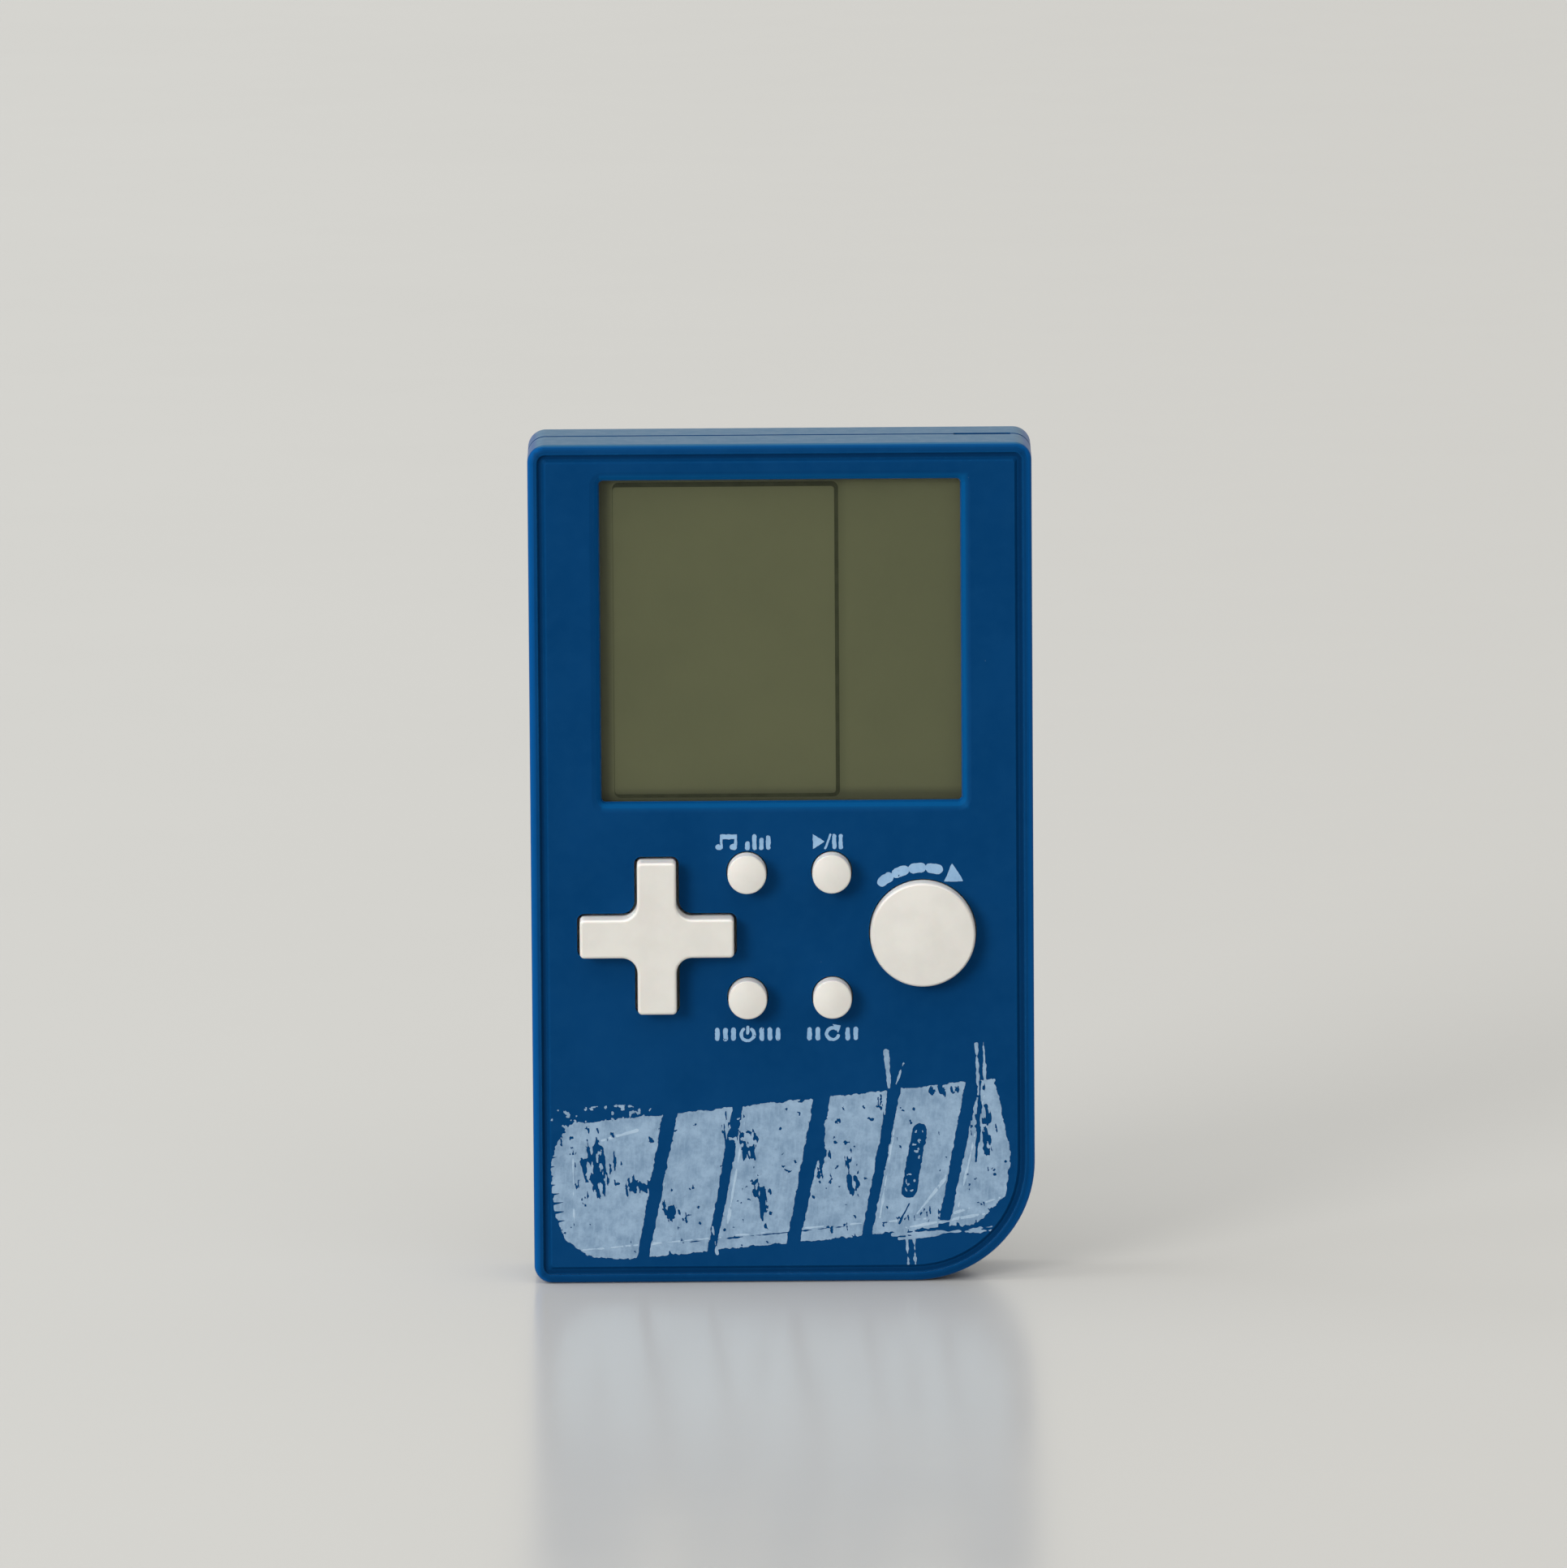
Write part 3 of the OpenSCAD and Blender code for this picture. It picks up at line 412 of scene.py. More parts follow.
MATERIALS = {
    "case_blue": case_plastic(),
    "key_ivory": key_plastic(),
    "lens": clear_lens(),
    "tape": plain("black_foam_tape", (0.010, 0.010, 0.010), (0.018, 0.017, 0.016), 0.8),
    "holder": plain("display_holder", (0.030, 0.030, 0.028), (0.050, 0.049, 0.046), 0.5),
    "polarizer": display_film(),
    "display_glass": display_glass(),
    "reflector": plain("reflector_foil", (0.42, 0.44, 0.40), (0.52, 0.54, 0.50), 0.35, metallic=0.6),
    "zebra": plain("zebra_rubber", (0.45, 0.16, 0.20), (0.58, 0.24, 0.28), 0.6, 6.0),
    "board": circuit_board(),
    "epoxy": plain("epoxy_blob", (0.008, 0.008, 0.009), (0.016, 0.016, 0.017), 0.25, coat=0.4),
    "capacitor_sleeve": plain("capacitor_sleeve", (0.008, 0.013, 0.045), (0.014, 0.022, 0.070), 0.3),
    "capacitor_disc": plain("capacitor_disc", (0.42, 0.15, 0.04), (0.52, 0.21, 0.06), 0.4),
    "resistor": resistor_bands(),
    "pivot": plain("pivot_plastic", (0.56, 0.56, 0.56), (0.64, 0.64, 0.63), 0.4),
    "silicone": soft_rubber(),
    "carbon": plain("carbon_pill", (0.012, 0.012, 0.012), (0.022, 0.022, 0.022), 0.7),
    "buzzer_brass": metal("buzzer_brass", (0.62, 0.44, 0.16), (0.76, 0.57, 0.26), 0.28, (0.4, 3, 3)),
    "buzzer_ceramic": plain("buzzer_ceramic", (0.66, 0.66, 0.62), (0.75, 0.75, 0.71), 0.4),
    "cell": cell_wrap(),
    "contact": metal("nickel_contact", (0.50, 0.49, 0.47), (0.66, 0.65, 0.62), 0.25, (3, 3, 0.4)),
    "wire_red": plain("wire_red", (0.32, 0.012, 0.010), (0.42, 0.025, 0.018), 0.4),
    "wire_black": plain("wire_black", (0.010, 0.010, 0.010), (0.020, 0.020, 0.020), 0.4),
    "screw": metal("screw_steel", (0.46, 0.46, 0.47), (0.60, 0.60, 0.61), 0.32, (5, 0.5, 5), 0.03),
}
INK = worn_ink("print_pale_blue", (0.138, 0.228, 0.345), (0.245, 0.358, 0.495), (0.62, 0.70, 0.78))
SYMBOL_INK = worn_ink("print_symbols", (0.190, 0.335, 0.530), (0.255, 0.410, 0.600), (0.50, 0.63, 0.76))
# painted highlight: pale ink for strokes that stand for light on raised ink, and for a few scratches
STROKE_INK = worn_ink("print_highlight_and_scratch_strokes", (0.270, 0.385, 0.520), (0.350, 0.465, 0.590),
                      (0.55, 0.64, 0.74))
DISPLAY_INK = plain("display_frame_ink", (0.024, 0.026, 0.012), (0.034, 0.036, 0.018), 0.6, specular=0.1)
NODE_SLOT = {part["node"]: part["material_slot"] for part in frame["record"]["subparts"]}


def paint(obj, material):
    obj.data.materials.clear()
    obj.data.materials.append(material)


for node_name, node_object in NODES.items():
    paint(node_object, MATERIALS[NODE_SLOT[node_name]])


# ---------- soft edges on the moulded parts ----------


def soften(node, width_mm, segments=2, ease_mm=0.0):
    """Rounds the sharp edges of a CAD node with modifiers; its own mesh stays as packed.

    ease_mm draws the whole skin in, which leaves room where two joints move the piece at once.
    """
    obj = NODES[node]
    weld = obj.modifiers.new("weld", "WELD")
    weld.merge_threshold = 1e-6
    flat = obj.modifiers.new("flat", "DECIMATE")
    flat.decimate_type = "DISSOLVE"
    flat.angle_limit = math.radians(0.4)
    bevel = obj.modifiers.new("soft_edges", "BEVEL")
    bevel.width = width_mm * MM
    bevel.segments = segments
    bevel.limit_method = "ANGLE"
    bevel.angle_limit = math.radians(32)
    bevel.use_clamp_overlap = False
    bevel.miter_outer = "MITER_ARC"
    if ease_mm:
        ease = obj.modifiers.new("ease", "DISPLACE")
        ease.mid_level = 0
        ease.strength = -ease_mm * MM
    obj.modifiers.new("normals", "WEIGHTED_NORMAL")


soften("cross_key", 0.42, segments=4, ease_mm=0.04)
soften("battery_door", 0.15)

# ---------- rubber springs, cut into one piece under each key ----

PILL_HALF = 2.0
BELL_EASE = 0.13


def cut_copy(name, node, cuts):
    """A closed copy of a CAD node, cut off by planes; each cut is a point and the way that goes."""
    mesh = NODES[node].data.copy()
    mesh.name = name
    bm = bmesh.new()
    bm.from_mesh(mesh)
    bmesh.ops.remove_doubles(bm, verts=bm.verts, dist=1e-6)
    for point, away in cuts:
        everything = bm.verts[:] + bm.edges[:] + bm.faces[:]
        cut = bmesh.ops.bisect_plane(bm, geom=everything, dist=1e-7, plane_co=Vector(point) * MM,
                                     plane_no=away, clear_outer=True)
        rim = [e for e in cut["geom_cut"] if isinstance(e, bmesh.types.BMEdge)]
        bmesh.ops.holes_fill(bm, edges=rim)
    bmesh.ops.recalc_face_normals(bm, faces=bm.faces)
    bm.to_mesh(mesh)
    bm.free()
    copy = bpy.data.objects.new(name, mesh)
    bpy.context.scene.collection.objects.link(copy)
    slot = NODE_SLOT[node]
    paint(copy, MATERIALS[slot])
    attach(copy, "case")
    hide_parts(node)
    return copy


def beyond(x=None, z=None, side=1):
    """A cut that takes away what lies on one side of a sideways place or a height."""
    return ((x or 0, 0, z or 0), (side if x is not None else 0, 0, side if z is not None else 0))


def square_round(centre, half):
    """Four cuts that leave a square block."""
    x, z = centre
    return [beyond(x=x + half), beyond(x=x - half, side=-1), beyond(z=z + half), beyond(z=z - half, side=-1)]


def gives_way(piece):
    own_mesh(piece)


def key_springs():
    """Rubber and carbon pills, cut into one piece for each key."""
    keys = {name: middle_mm(name + "_button") for name in ("rotate", "music", "start", "power", "reset")}
    between = (keys["music"][0] + keys["start"][0]) / 2
    rubber_of = {"rotate": ("rotate_rubber", []),
                 "music": ("upper_key_rubber", [beyond(x=between)]),
                 "start": ("upper_key_rubber", [beyond(x=between, side=-1)]),
                 "power": ("lower_key_rubber", [beyond(x=between)]),
                 "reset": ("lower_key_rubber", [beyond(x=between, side=-1)])}
    for key, (node, cuts) in rubber_of.items():
        spring = cut_copy(key + "_spring", node, cuts)
        pill = cut_copy(key + "_pill", "carbon_pills", square_round(keys[key], PILL_HALF))
        for piece in (spring, pill):
            gives_way(piece)

    x, z = middle_mm("cross_key")
    low, high = box_mm("cross_rubber")
    bell_r, arm = 3.15, 3.6
    bell_at = (high.x - low.x) / 2 - bell_r
    # the bells end a little below the key, which tips over two of them while it presses the others
    crown = ((0, low.y + BELL_EASE, 0), (0, -1, 0))
    cut_copy("cross_spring_middle", "cross_rubber", square_round((x, z), arm))
    arms = {"right": (beyond(x=x + arm, side=-1), (bell_at, 0), "cross_left_right"),
            "left": (beyond(x=x - arm), (-bell_at, 0), "cross_left_right"),
            "up": (beyond(z=z + arm, side=-1), (0, bell_at), "cross_up_down"),
            "down": (beyond(z=z - arm), (0, -bell_at), "cross_up_down")}
    for side, (cut, at, joint) in arms.items():
        spring = cut_copy(f"cross_spring_{side}", "cross_rubber", [cut, crown])
        pill = cut_copy(f"cross_pill_{side}", "carbon_pills", square_round((x + at[0], z + at[1]), PILL_HALF))
        for piece in (spring, pill):
            gives_way(piece)


key_springs()

# ---------- printed and drawn marks ----------


def noise_field(x, z, size, seed, octaves=4):
    """Seeded value noise between about -1 and 1, on any grid of points in millimetres."""
    total, weight, norm = np.zeros_like(x), 1.0, 0.0
    for octave in range(octaves):
        table = np.random.RandomState(seed + 17 * octave).uniform(-1, 1, (256, 256))
        u, v = x / size + 57.3, z / size + 91.7
        i, j = np.floor(u).astype(int), np.floor(v).astype(int)
        a, b = u - i, v - j
        a, b = a * a * (3 - 2 * a), b * b * (3 - 2 * b)
        i, j, i1, j1 = i % 256, j % 256, (i + 1) % 256, (j + 1) % 256
        total += weight * ((table[i, j] * (1 - a) + table[i1, j] * a) * (1 - b)
                           + (table[i, j1] * (1 - a) + table[i1, j1] * a) * b)
        norm += weight
        weight, size = weight * 0.55, size / 2
    return total / norm * 1.6


def line_field(x, z, start, end, radius):
    """Distance to a round-ended line; negative inside, as in every field here."""
    d = np.array(end, float) - np.array(start, float)
    t = np.clip(((x - start[0]) * d[0] + (z - start[1]) * d[1]) / (d @ d), 0, 1)
    return np.hypot(x - start[0] - t * d[0], z - start[1] - t * d[1]) - radius


def polygon_field(x, z, points):
    """Signed distance to a polygon."""
    best, inside = np.full(x.shape, 1e9), np.zeros(x.shape, bool)
    for k, (x1, z1) in enumerate(points):
        x0, z0 = points[k - 1]
        best = np.minimum(best, line_field(x, z, (x0, z0), (x1, z1), 0))
        if z0 != z1:
            crosses = (z0 > z) != (z1 > z)
            inside ^= crosses & (x < (x1 - x0) * (z - z0) / (z1 - z0) + x0)
    return np.where(inside, -best, best)


def disc_field(x, z, centre, radius):
    return np.hypot(x - centre[0], z - centre[1]) - radius


def trace(field, xs, zs):
    """Closed loops round the negative parts of a field, by marching squares."""
    step = xs[1] - xs[0]
    f = np.pad(field, 1, constant_values=1.0)
    x0, z0 = xs[0] - step, zs[0] - step
    inside = f < 0
    code = (inside[:-1, :-1] * 1 + inside[1:, :-1] * 2 + inside[1:, 1:] * 4 + inside[:-1, 1:] * 8)
    bottom, right, top, left = (0, 0, 0), (1, 0, 1), (0, 1, 0), (0, 0, 1)
    steps = {1: [(bottom, left)], 2: [(right, bottom)], 4: [(top, right)], 8: [(left, top)],
             3: [(right, left)], 6: [(top, bottom)], 12: [(left, right)], 9: [(bottom, top)],
             14: [(left, bottom)], 13: [(bottom, right)], 11: [(right, top)], 7: [(top, left)],
             5: [(bottom, left), (top, right)], 10: [(right, bottom), (left, top)]}
    follow = {}
    for i, j in zip(*np.nonzero((code > 0) & (code < 15))):
        for a, b in steps[code[i, j]]:
            follow[(i + a[0], j + a[1], a[2])] = (i + b[0], j + b[1], b[2])

    def point(edge):
        i, j, upright = edge
        a, b = f[i, j], f[i + 1 - upright, j + upright]
        t = a / (a - b)
        return x0 + step * (i + t * (1 - upright)), z0 + step * (j + t * upright)

    loops = []
    while follow:
        edge = next(iter(follow))
        loop = []
        while edge in follow:
            loop.append(point(edge))
            edge = follow.pop(edge)
        loops.append(np.array(loop))
    return loops


def thinned(loop, tolerance):
    """Drops points that lie on the line between their neighbours."""
    for _ in range(4):
        for start in (0, 1):
            if len(loop) < 8:
                return loop
            before, after = np.roll(loop, 1, 0), np.roll(loop, -1, 0)
            chord, arm = after - before, loop - before
            off = np.abs(chord[:, 0] * arm[:, 1] - chord[:, 1] * arm[:, 0])
            off /= np.maximum(np.hypot(*chord.T), 1e-9)
            candidate = np.arange(len(loop)) % 2 == start
            loop = loop[~(candidate & (off < tolerance))]
    return loop


def loop_area(loop):
    x, z = loop.T
    return 0.5 * abs(np.dot(x, np.roll(z, -1)) - np.dot(z, np.roll(x, -1)))


def printed(name, loops, material, front, thickness, smallest=0.004):
    """A thin closed solid, filled between the loops, that rides on the case; front is its outer face."""
    curve = bpy.data.curves.new(name, "CURVE")
    curve.dimensions = "2D"
    curve.fill_mode = "BOTH"
    curve.extrude = thickness / 2
    for loop in loops:
        if len(loop) < 4 or loop_area(loop) < smallest:
            continue
        spline = curve.splines.new("POLY")
        spline.points.add(len(loop) - 1)
        flat = np.zeros((len(loop), 4), np.float32)
        flat[:, :2] = loop
        flat[:, 3] = 1
        spline.points.foreach_set("co", flat.ravel())
        spline.use_cyclic_u = True
    maker = bpy.data.objects.new(name + "_maker", curve)
    bpy.context.scene.collection.objects.link(maker)
    bpy.context.view_layer.update()
    mesh = bpy.data.meshes.new_from_object(maker.evaluated_get(bpy.context.evaluated_depsgraph_get()))
    bpy.data.objects.remove(maker)
    mesh.name = name
    stand = Matrix.Rotation(math.pi / 2, 4, "X")
    mesh.transform(Matrix.Translation((0, (front + thickness / 2) * MM, 0)) @ Matrix.Scale(MM, 4) @ stand)
    bm = bmesh.new()
    bm.from_mesh(mesh)
    bmesh.ops.remove_doubles(bm, verts=bm.verts, dist=0.002 * MM)
    bmesh.ops.recalc_face_normals(bm, faces=bm.faces)
    bm.to_mesh(mesh)
    bm.free()
    obj = bpy.data.objects.new(name, mesh)
    bpy.context.scene.collection.objects.link(obj)
    paint(obj, material)
    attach(obj, "case")
    return obj


def grid(x0, x1, z0, z1, step):
    xs = np.arange(x0, x1 + step / 2, step)
    zs = np.arange(z0, z1 + step / 2, step)
    return xs, zs, *np.meshgrid(xs, zs, indexing="ij")


PRINT_T = 0.03
PRINT_FRONT = FACE - 0.02


def outline_field(x, z, inset):
    """Signed distance to the case outline moved in by inset; the bottom right corner is swept."""
    half_w, half_h = (CASE_HIGH.x - CASE_LOW.x) / 2 - inset, (CASE_HIGH.z - CASE_LOW.z) / 2 - inset
    cx, cz = x - (CASE_HIGH.x + CASE_LOW.x) / 2, z - (CASE_HIGH.z + CASE_LOW.z) / 2
    r = np.where((cx > 0) & (cz < 0), SWEEP_R, CORNER_R) - inset
    qx, qz = np.abs(cx) - half_w + r, np.abs(cz) - half_h + r
    return np.hypot(np.maximum(qx, 0), np.maximum(qz, 0)) + np.minimum(np.maximum(qx, qz), 0) - r


BAND_FOOT = (-28.2, 2.05)
BAND_RISE = math.radians(5.5)
GROOVE_INSET = 2.15


def slanted(x, z):
    """Coordinates along and across the slanted band."""
    c, s = math.cos(BAND_RISE), math.sin(BAND_RISE)
    dx, dz = x - BAND_FOOT[0], z - BAND_FOOT[1]
    return dx * c + dz * s, dz * c - dx * s


def band_print():
    """The worn pale-blue band: six slanted bars with cuts, chips, streaks, and brighter strokes that are
    painted highlights and a few scratches.
    """
    xs, zs, x, z = grid(-29.4, 28.6, 1.3, 30.9, 0.1)
    u, v = slanted(x, z)
    body = [(0.5, 12.8), (0.4, 6.4), (1.5, 3.3), (3.9, 1.1), (7.0, 0.3), (11.0, 0.2), (52.0, 0.2),
            (56.2, 3.4), (57.3, 8.4), (56.3, 18.1), (3.4, 17.8), (1.7, 15.6)]
    ink = polygon_field(u, v, body)
    ink = ink + 0.16 * noise_field(x, z, 0.9, 3) + 0.10 * noise_field(x, z, 0.35, 4)
    # slanted gaps part the band into bars, and one round-ended slot lies in the fifth bar
    cuts = np.full(x.shape, 9.0)
    for foot, width in ((9.6, 1.5), (18.4, 1.1), (28.2, 1.7), (37.6, 1.2), (47.0, 1.4)):
        lean = 0.30 + 0.03 * math.sin(foot)
        head = foot + 20 * lean
        gap = [(foot, -1), (foot + width, -1), (head + width * 1.25, 19.5), (head, 19.5)]
        cuts = np.minimum(cuts, polygon_field(u, v, gap))
    cuts = np.minimum(cuts, line_field(u, v, (44.3, 5.2), (46.4, 12.6), 0.9))
    ink = np.maximum(ink, -cuts + 0.13 * noise_field(x, z, 0.6, 5))
    # serrated left edge
    for k in range(9):
        base = 4.6 + 1.15 * k
        tooth = [(-1, base - 0.42), (1.5 + 0.5 * math.sin(7.1 * k), base + 0.1), (-1, base + 0.30)]
        ink = np.maximum(ink, -polygon_field(u, v, tooth))
    # scraped places: brush streaks that run up the band, strongest round a few spots
    streaks = noise_field(u * 2.6, v * 0.55, 0.9, 11, 5)
    chips = noise_field(u, v, 0.8, 12, 5)
    scraped = np.zeros(x.shape)
    for cu, cv, ru, rv in ((6.2, 12.6, 3.0, 5.8), (10.6, 9.2, 3.4, 1.5), (14.9, 5.4, 1.4, 2.6),
                           (24.4, 14.0, 2.9, 4.2), (26.4, 6.0, 1.5, 3.6), (34.0, 11.6, 1.3, 4.8),
                           (37.4, 7.6, 1.2, 3.4), (42.6, 15.4, 1.5, 2.2), (54.4, 12.6, 1.7, 5.2),
                           (50.0, 17.2, 3.4, 0.9), (46.2, 2.0, 2.2, 1.0)):
        scraped = np.maximum(scraped, 1.25 - np.hypot((u - cu) / ru, (v - cv) / rv))
    scraped = np.clip(scraped, 0, 1)
    bare = np.maximum(streaks * 0.8 + chips * 0.5 + 1.15 * scraped - 0.92, chips - 0.80)
    ink = np.maximum(ink, bare * 0.6)
    # specks of ink inside the slot, over the first bar and in a scraped place
    spray = noise_field(x, z, 0.42, 21, 3)
    zone = np.minimum(line_field(u, v, (44.4, 5.6), (46.3, 12.2), 0.6),
                      np.minimum(line_field(u, v, (2.0, 18.6), (12.5, 18.5), 1.2),
                                 disc_field(u, v, (24.6, 14.6), 1.9)))
    ink = np.minimum(ink, np.maximum(zone, 0.42 - spray))
    # thin lines of ink, then thin scratches that part the ink
    breaks = noise_field(x, z, 0.9, 31, 3)
    for start, end, half in (((15.05, 6.7), (15.3, 1.5), 0.13), ((15.95, 6.9), (16.2, 1.6), 0.12),
                             ((16.1, 7.1), (19.5, 11.7), 0.10), ((13.4, 6.0), (25.6, 6.4), 0.16),
                             ((14.2, 5.4), (25.9, 6.9), 0.13), ((15.0, 7.0), (24.6, 8.1), 0.12),
                             ((13.0, 24.5), (12.7, 29.1), 0.22), ((13.9, 24.9), (14.8, 27.5), 0.08),
                             ((24.0, 24.7), (23.8, 29.9), 0.14), ((24.9, 24.9), (24.7, 30.2), 0.11),
                             ((24.3, 20.9), (24.6, 13.3), 0.10), ((-8.4, 3.7), (-8.9, 7.1), 0.10)):
        line = line_field(x, z, start, end, half) + 0.17 * breaks
        ink = np.minimum(ink, line)
    for start, end, half in (((12.9, 24.0), (13.1, 18.3), 0.14), ((24.3, 25.1), (23.7, 15.1), 0.16),
                             ((22.6, 24.1), (23.2, 20.3), 0.13), ((14.2, 7.4), (15.4, 9.8), 0.12),
                             ((-12.6, 5.1), (12.6, 7.5), 0.05)):
        ink = np.maximum(ink, -(line_field(x, z, start, end, half) + 0.10 * breaks))
    # no ink beyond the groove round the front face
    ink = np.maximum(ink, outline_field(x, z, GROOVE_INSET) + 0.08 * chips)
    loops = [thinned(loop, 0.012) for loop in trace(ink, xs, zs)]
    printed("print_worn_band", loops, INK, PRINT_FRONT, PRINT_T, 0.02)

    # painted highlight: brighter strokes stand for light caught where the ink lies thick and raised, along
    # the foot and down the bars; a few are scratches
    strokes = np.full(x.shape, 9.0)
    for start, end, half in (((3.4, 1.9), (27.6, 1.7), 0.10), ((30.6, 1.8), (46.2, 1.5), 0.10),
                             ((48.6, 1.6), (55.4, 3.2), 0.10), ((12.4, 3.0), (16.4, 16.4), 0.08),
                             ((21.6, 3.4), (25.2, 16.8), 0.09), ((31.2, 2.6), (35.4, 16.2), 0.08),
                             ((40.4, 2.2), (43.9, 15.8), 0.10), ((50.2, 2.6), (54.8, 16.2), 0.09),
                             ((45.0, 2.2), (49.4, 6.8), 0.16), ((43.4, 0.6), (55.6, 1.5), 0.14),
                             ((2.6, 4.4), (3.4, 13.6), 0.10), ((7.2, 15.4), (11.6, 16.2), 0.14)):
        strokes = np.minimum(strokes, line_field(u, v, start, end, half))
    strokes = strokes + 0.13 * noise_field(x, z, 1.6, 51)
    strokes = np.maximum(strokes, ink + 0.15)
    loops = [thinned(loop, 0.008) for loop in trace(strokes, xs, zs)]
    printed("print_highlight_and_scratch_strokes", loops, STROKE_INK, PRINT_FRONT - 0.012, PRINT_T, 0.02)


def symbol(name, centre, half_w, half_h, draw, seed, step=0.045):
    """One small printed symbol; draw gets points relative to its centre."""
    xs, zs, x, z = grid(centre[0] - half_w, centre[0] + half_w, centre[1] - half_h,
                        centre[1] + half_h, step)
    ink = draw(x - centre[0], z - centre[1])
    ink = ink + 0.05 * noise_field(x, z, 0.4, seed)
    ink = np.maximum(ink, 0.35 * (noise_field(x, z, 0.5, seed + 1) - 0.95))
    loops = [thinned(loop, 0.006) for loop in trace(ink, xs, zs)]
    printed(name, loops, SYMBOL_INK, PRINT_FRONT, PRINT_T, 0.01)


def union(*fields):
    return np.minimum.reduce(fields)


def arc_field(x, z, radius, half_width, start, end):
    """A round-ended arc about the origin, between two angles in degrees from the top, clockwise."""
    angle = np.degrees(np.arctan2(x, z))
    middle, reach = (start + end) / 2, (end - start) / 2
    off = (angle - middle + 180) % 360 - 180
    ring = np.abs(np.hypot(x, z) - radius) - half_width
    tips = [disc_field(x, z, (radius * math.sin(math.radians(a)), radius * math.cos(math.radians(a))),
                       half_width) for a in (start, end)]
    return np.where(np.abs(off) <= reach, ring, union(*tips))


def draw_music(x, z):
    """Two joined notes and four level bars."""
    notes = union(
        polygon_field(x, z, [(-2.95, 0.40), (-2.95, 0.98), (-0.85, 0.98), (-0.85, 0.40)]),
        line_field(x, z, (-2.78, 0.8), (-2.78, -0.62), 0.17),
        line_field(x, z, (-1.02, 0.8), (-1.02, -0.62), 0.17),
        np.hypot((x + 3.08) / 1.25, z + 0.60) - 0.38,
        np.hypot((x + 1.32) / 1.25, z + 0.60) - 0.38,
    )
    bars = [line_field(x, z, (0.45 + 0.85 * k, -0.72), (0.45 + 0.85 * k, top), 0.27)
            for k, top in enumerate((-0.15, 0.70, 0.3, 0.6))]
    return union(notes, *bars)


def draw_play_pause(x, z):
    """A play mark, a slash and a pause mark."""
    play = polygon_field(x, z, [(-1.8, -0.95), (-1.8, 0.95), (-0.35, 0)])
    slash = line_field(x, z, (-0.25, -0.85), (0.35, 0.85), 0.14)
    return union(play, slash, line_field(x, z, (0.85, -0.7), (0.85, 0.7), 0.25),
                 line_field(x, z, (1.65, -0.7), (1.65, 0.7), 0.25))


def draw_power(x, z):
    """The usual on and off mark between two rows of short bars."""
    ring = arc_field(x, z, 0.80, 0.20, 38, 322)
    bars = [line_field(x, z, (side * a, -0.55), (side * a, 0.55), 0.28)
            for side in (-1, 1) for a in (1.75, 2.75, 3.75)]
    return union(ring, line_field(x, z, (0, 0.15), (0, 0.9), 0.19), *bars)


def draw_reset(x, z):
    """A turning arrow between two rows of short bars."""
    ring = arc_field(x, z, 0.74, 0.20, -250, 35)
    head = polygon_field(x, z, [(0.00, 1.20), (1.02, 1.02), (0.66, 0.12)])
    bars = [line_field(x, z, (side * a, -0.55), (side * a, 0.55), 0.28)
            for side in (-1, 1) for a in (1.85, 2.85)]
    return union(ring, head, *bars)


def draw_turn(x, z):
    """A curved row of dashes that ends in an arrowhead, round the large key."""
    dashes = [arc_field(x, z, 8.05, 0.62, a, a + 6.5) for a in (-38, -23, -8, 7)]
    end = math.radians(23)
    tip = math.radians(39)
    head = polygon_field(x, z, [(9.35 * math.sin(end), 9.35 * math.cos(end)),
                                (8.1 * math.sin(tip), 8.1 * math.cos(tip)),
                                (6.85 * math.sin(end), 6.85 * math.cos(end))])
    return union(head, *dashes)


# how far the small keys' marks stand above or below them
MARK_RISE, MARK_DROP = 3.7, 4.7
music_at, start_at = middle_mm("music_button"), middle_mm("start_button")
power_at, reset_at = middle_mm("power_button"), middle_mm("reset_button")
band_print()
symbol("print_music_symbol", (music_at[0] - 0.35, music_at[1] + MARK_RISE), 4.2, 1.5, draw_music, 41)
symbol("print_play_symbol", (start_at[0] - 0.5, start_at[1] + MARK_RISE), 2.6, 1.5, draw_play_pause, 43)
symbol("print_power_symbol", (power_at[0] - 0.05, power_at[1] - MARK_DROP), 4.8, 1.5, draw_power, 45)
symbol("print_reset_symbol", (reset_at[0], reset_at[1] - MARK_DROP), 4.0, 1.5, draw_reset, 47)
symbol("print_turn_symbol", middle_mm("rotate_button"), 10.0, 10.0, draw_turn, 49, 0.07)


def rounded_loop(x0, x1, z0, z1, r):
    """A rectangle's outline with round corners."""
    corners = ((x1 - r, z0 + r, -90), (x1 - r, z1 - r, 0), (x0 + r, z1 - r, 90), (x0 + r, z0 + r, 180))
    return np.array([(cx + r * math.cos(math.radians(a)), cz + r * math.sin(math.radians(a)))
                     for cx, cz, first in corners for a in np.linspace(first, first + 90, 6)])


printed("display_frame_line",
        [rounded_loop(*DISPLAY_X, *DISPLAY_Z, 0.8),
         rounded_loop(DISPLAY_X[0] + 0.04, DISPLAY_X[1] - 0.5, DISPLAY_Z[0] + 0.45, DISPLAY_Z[1] - 0.6, 0.4)],
        DISPLAY_INK, box_mm("lcd_front_polarizer")[0].y - 0.01, 0.02)

# ---------- floor, light and camera ----------


AIR = (1.0, 0.986, 0.940, 1)
AIR_SEEN = 0.68


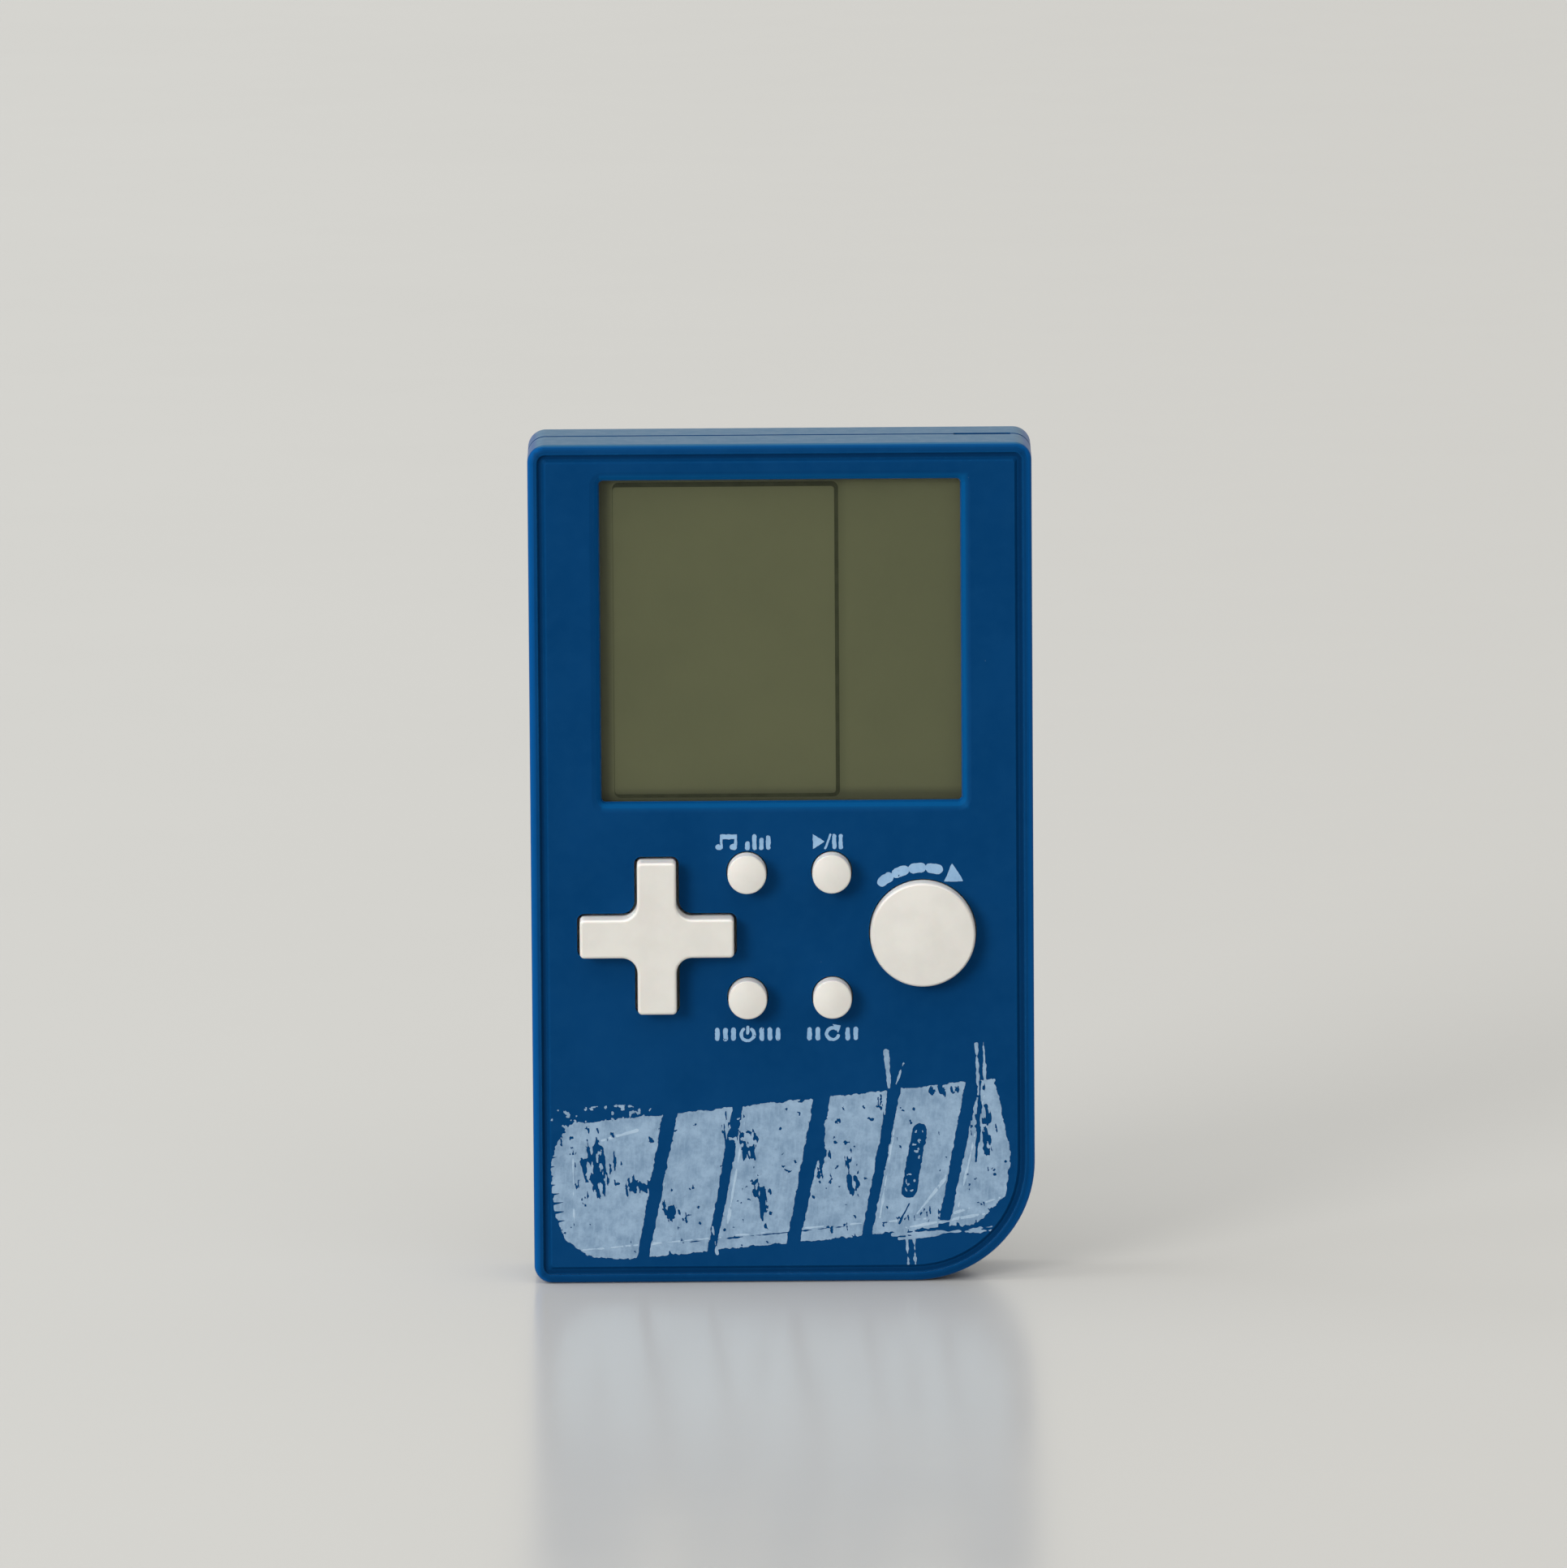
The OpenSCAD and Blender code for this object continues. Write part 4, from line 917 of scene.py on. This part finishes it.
def pale_floor():
    """A pale floor that shines softly, but not at a grazing look, and fades into the air far off."""
    mesh = bpy.data.meshes.new("floor")
    bm = bmesh.new()
    bmesh.ops.create_grid(bm, x_segments=8, y_segments=8, size=40)
    bm.to_mesh(mesh)
    bm.free()
    floor = bpy.data.objects.new("floor", mesh)
    floor.location.z = -0.02 * MM
    bpy.context.scene.collection.objects.link(floor)
    s = Shader("floor_pale_laminate")
    base = s.mix(s.span(s.noise(0.004, 3), 0.3, 0.7), (0.610, 0.608, 0.593), (0.622, 0.620, 0.605))
    # painted shade: the floor is painted darker towards the right, where less light falls
    base = s.mix(s.span(s.axes[0], -160, 160), base, (0.574, 0.566, 0.549))
    facing = s.add("LayerWeight", {"Blend": 0.5}).outputs["Facing"]
    rough = s.span(s.noise(0.02, 2), 0.3, 0.7, 0.21, 0.24)
    paint(floor, s.surface(base, rough, specular=s.span(facing, 0.88, 0.93, 0.58, 0.05)))
    near = s.out.inputs["Surface"].links[0].from_socket
    air = s.add("Emission", {0: AIR, 1: AIR_SEEN}).outputs[0]
    away = s.add("VectorMath", {0: s.mm}, operation="LENGTH").outputs["Value"]
    faded = s.add("MixShader", {0: s.span(away, 1400, 4000), 1: near, 2: air}).outputs[0]
    s.tree.links.new(faded, s.out.inputs["Surface"])


def studio_world():
    """Pale surroundings, a little darker near the horizon than overhead."""
    horizon, overhead = 0.60, 0.63
    world = bpy.data.worlds.new("studio")
    bpy.context.scene.world = world
    world.use_nodes = True
    tree = world.node_tree
    tree.nodes.clear()
    place = tree.nodes.new("ShaderNodeTexCoord")
    split = tree.nodes.new("ShaderNodeSeparateXYZ")
    ramp = tree.nodes.new("ShaderNodeMapRange")
    ramp.interpolation_type = "SMOOTHSTEP"
    ramp.inputs[1].default_value, ramp.inputs[2].default_value = 0.0, 0.9
    ramp.inputs[3].default_value, ramp.inputs[4].default_value = horizon, overhead
    seen = tree.nodes.new("ShaderNodeLightPath")
    strength = tree.nodes.new("ShaderNodeMix")
    strength.inputs[3].default_value = AIR_SEEN
    back = tree.nodes.new("ShaderNodeBackground")
    back.inputs[0].default_value = AIR
    out = tree.nodes.new("ShaderNodeOutputWorld")
    links = tree.links
    links.new(place.outputs["Generated"], split.inputs[0])
    links.new(split.outputs[2], ramp.inputs[0])
    links.new(seen.outputs["Is Camera Ray"], strength.inputs[0])
    links.new(ramp.outputs[0], strength.inputs[2])
    links.new(strength.outputs[0], back.inputs[1])
    links.new(back.outputs[0], out.inputs[0])


def window(name, energy, size, side, fall, colour):
    """Soft light, size degrees wide; it travels side degrees right of straight back, fall degrees down."""
    light = bpy.data.lights.new(name, "SUN")
    light.energy = energy
    light.angle = math.radians(size)
    light.color = colour
    lamp = bpy.data.objects.new(name, light)
    side, fall = math.radians(side), math.radians(fall)
    travel = Vector((math.sin(side) * math.cos(fall), math.cos(side) * math.cos(fall), -math.sin(fall)))
    lamp.rotation_mode = "QUATERNION"
    lamp.rotation_quaternion = travel.to_track_quat("-Z", "Y")
    bpy.context.scene.collection.objects.link(lamp)


def photo_camera():
    """A long lens from far off, a little above the object and rolled slightly."""
    distance, elevation, roll, lens = 2.5, math.radians(10.1), math.radians(-0.4), 465.9
    target = Vector((0.24, FACE, 62.65)) * MM
    back = Vector((0, -math.cos(elevation), math.sin(elevation)))
    camera = bpy.data.objects.new("camera", bpy.data.cameras.new("camera"))
    camera.data.lens = lens
    camera.data.sensor_width = 36
    camera.data.clip_end = 100
    camera.location = target + back * distance
    camera.rotation_mode = "QUATERNION"
    camera.rotation_quaternion = (-back).to_track_quat("-Z", "Y") @ Quaternion((0, 0, 1), roll)
    bpy.context.scene.collection.objects.link(camera)
    bpy.context.scene.camera = camera


pale_floor()
studio_world()
window("window_front", 1.75, 24, 36, 18, (1.0, 0.985, 0.955))
window("window_left", 1.1, 50, 88, 35, (0.94, 0.97, 1.0))
window("window_top", 0.55, 60, 5, 62, (1.0, 0.99, 0.97))
photo_camera()
bpy.context.scene.view_settings.view_transform = "Standard"
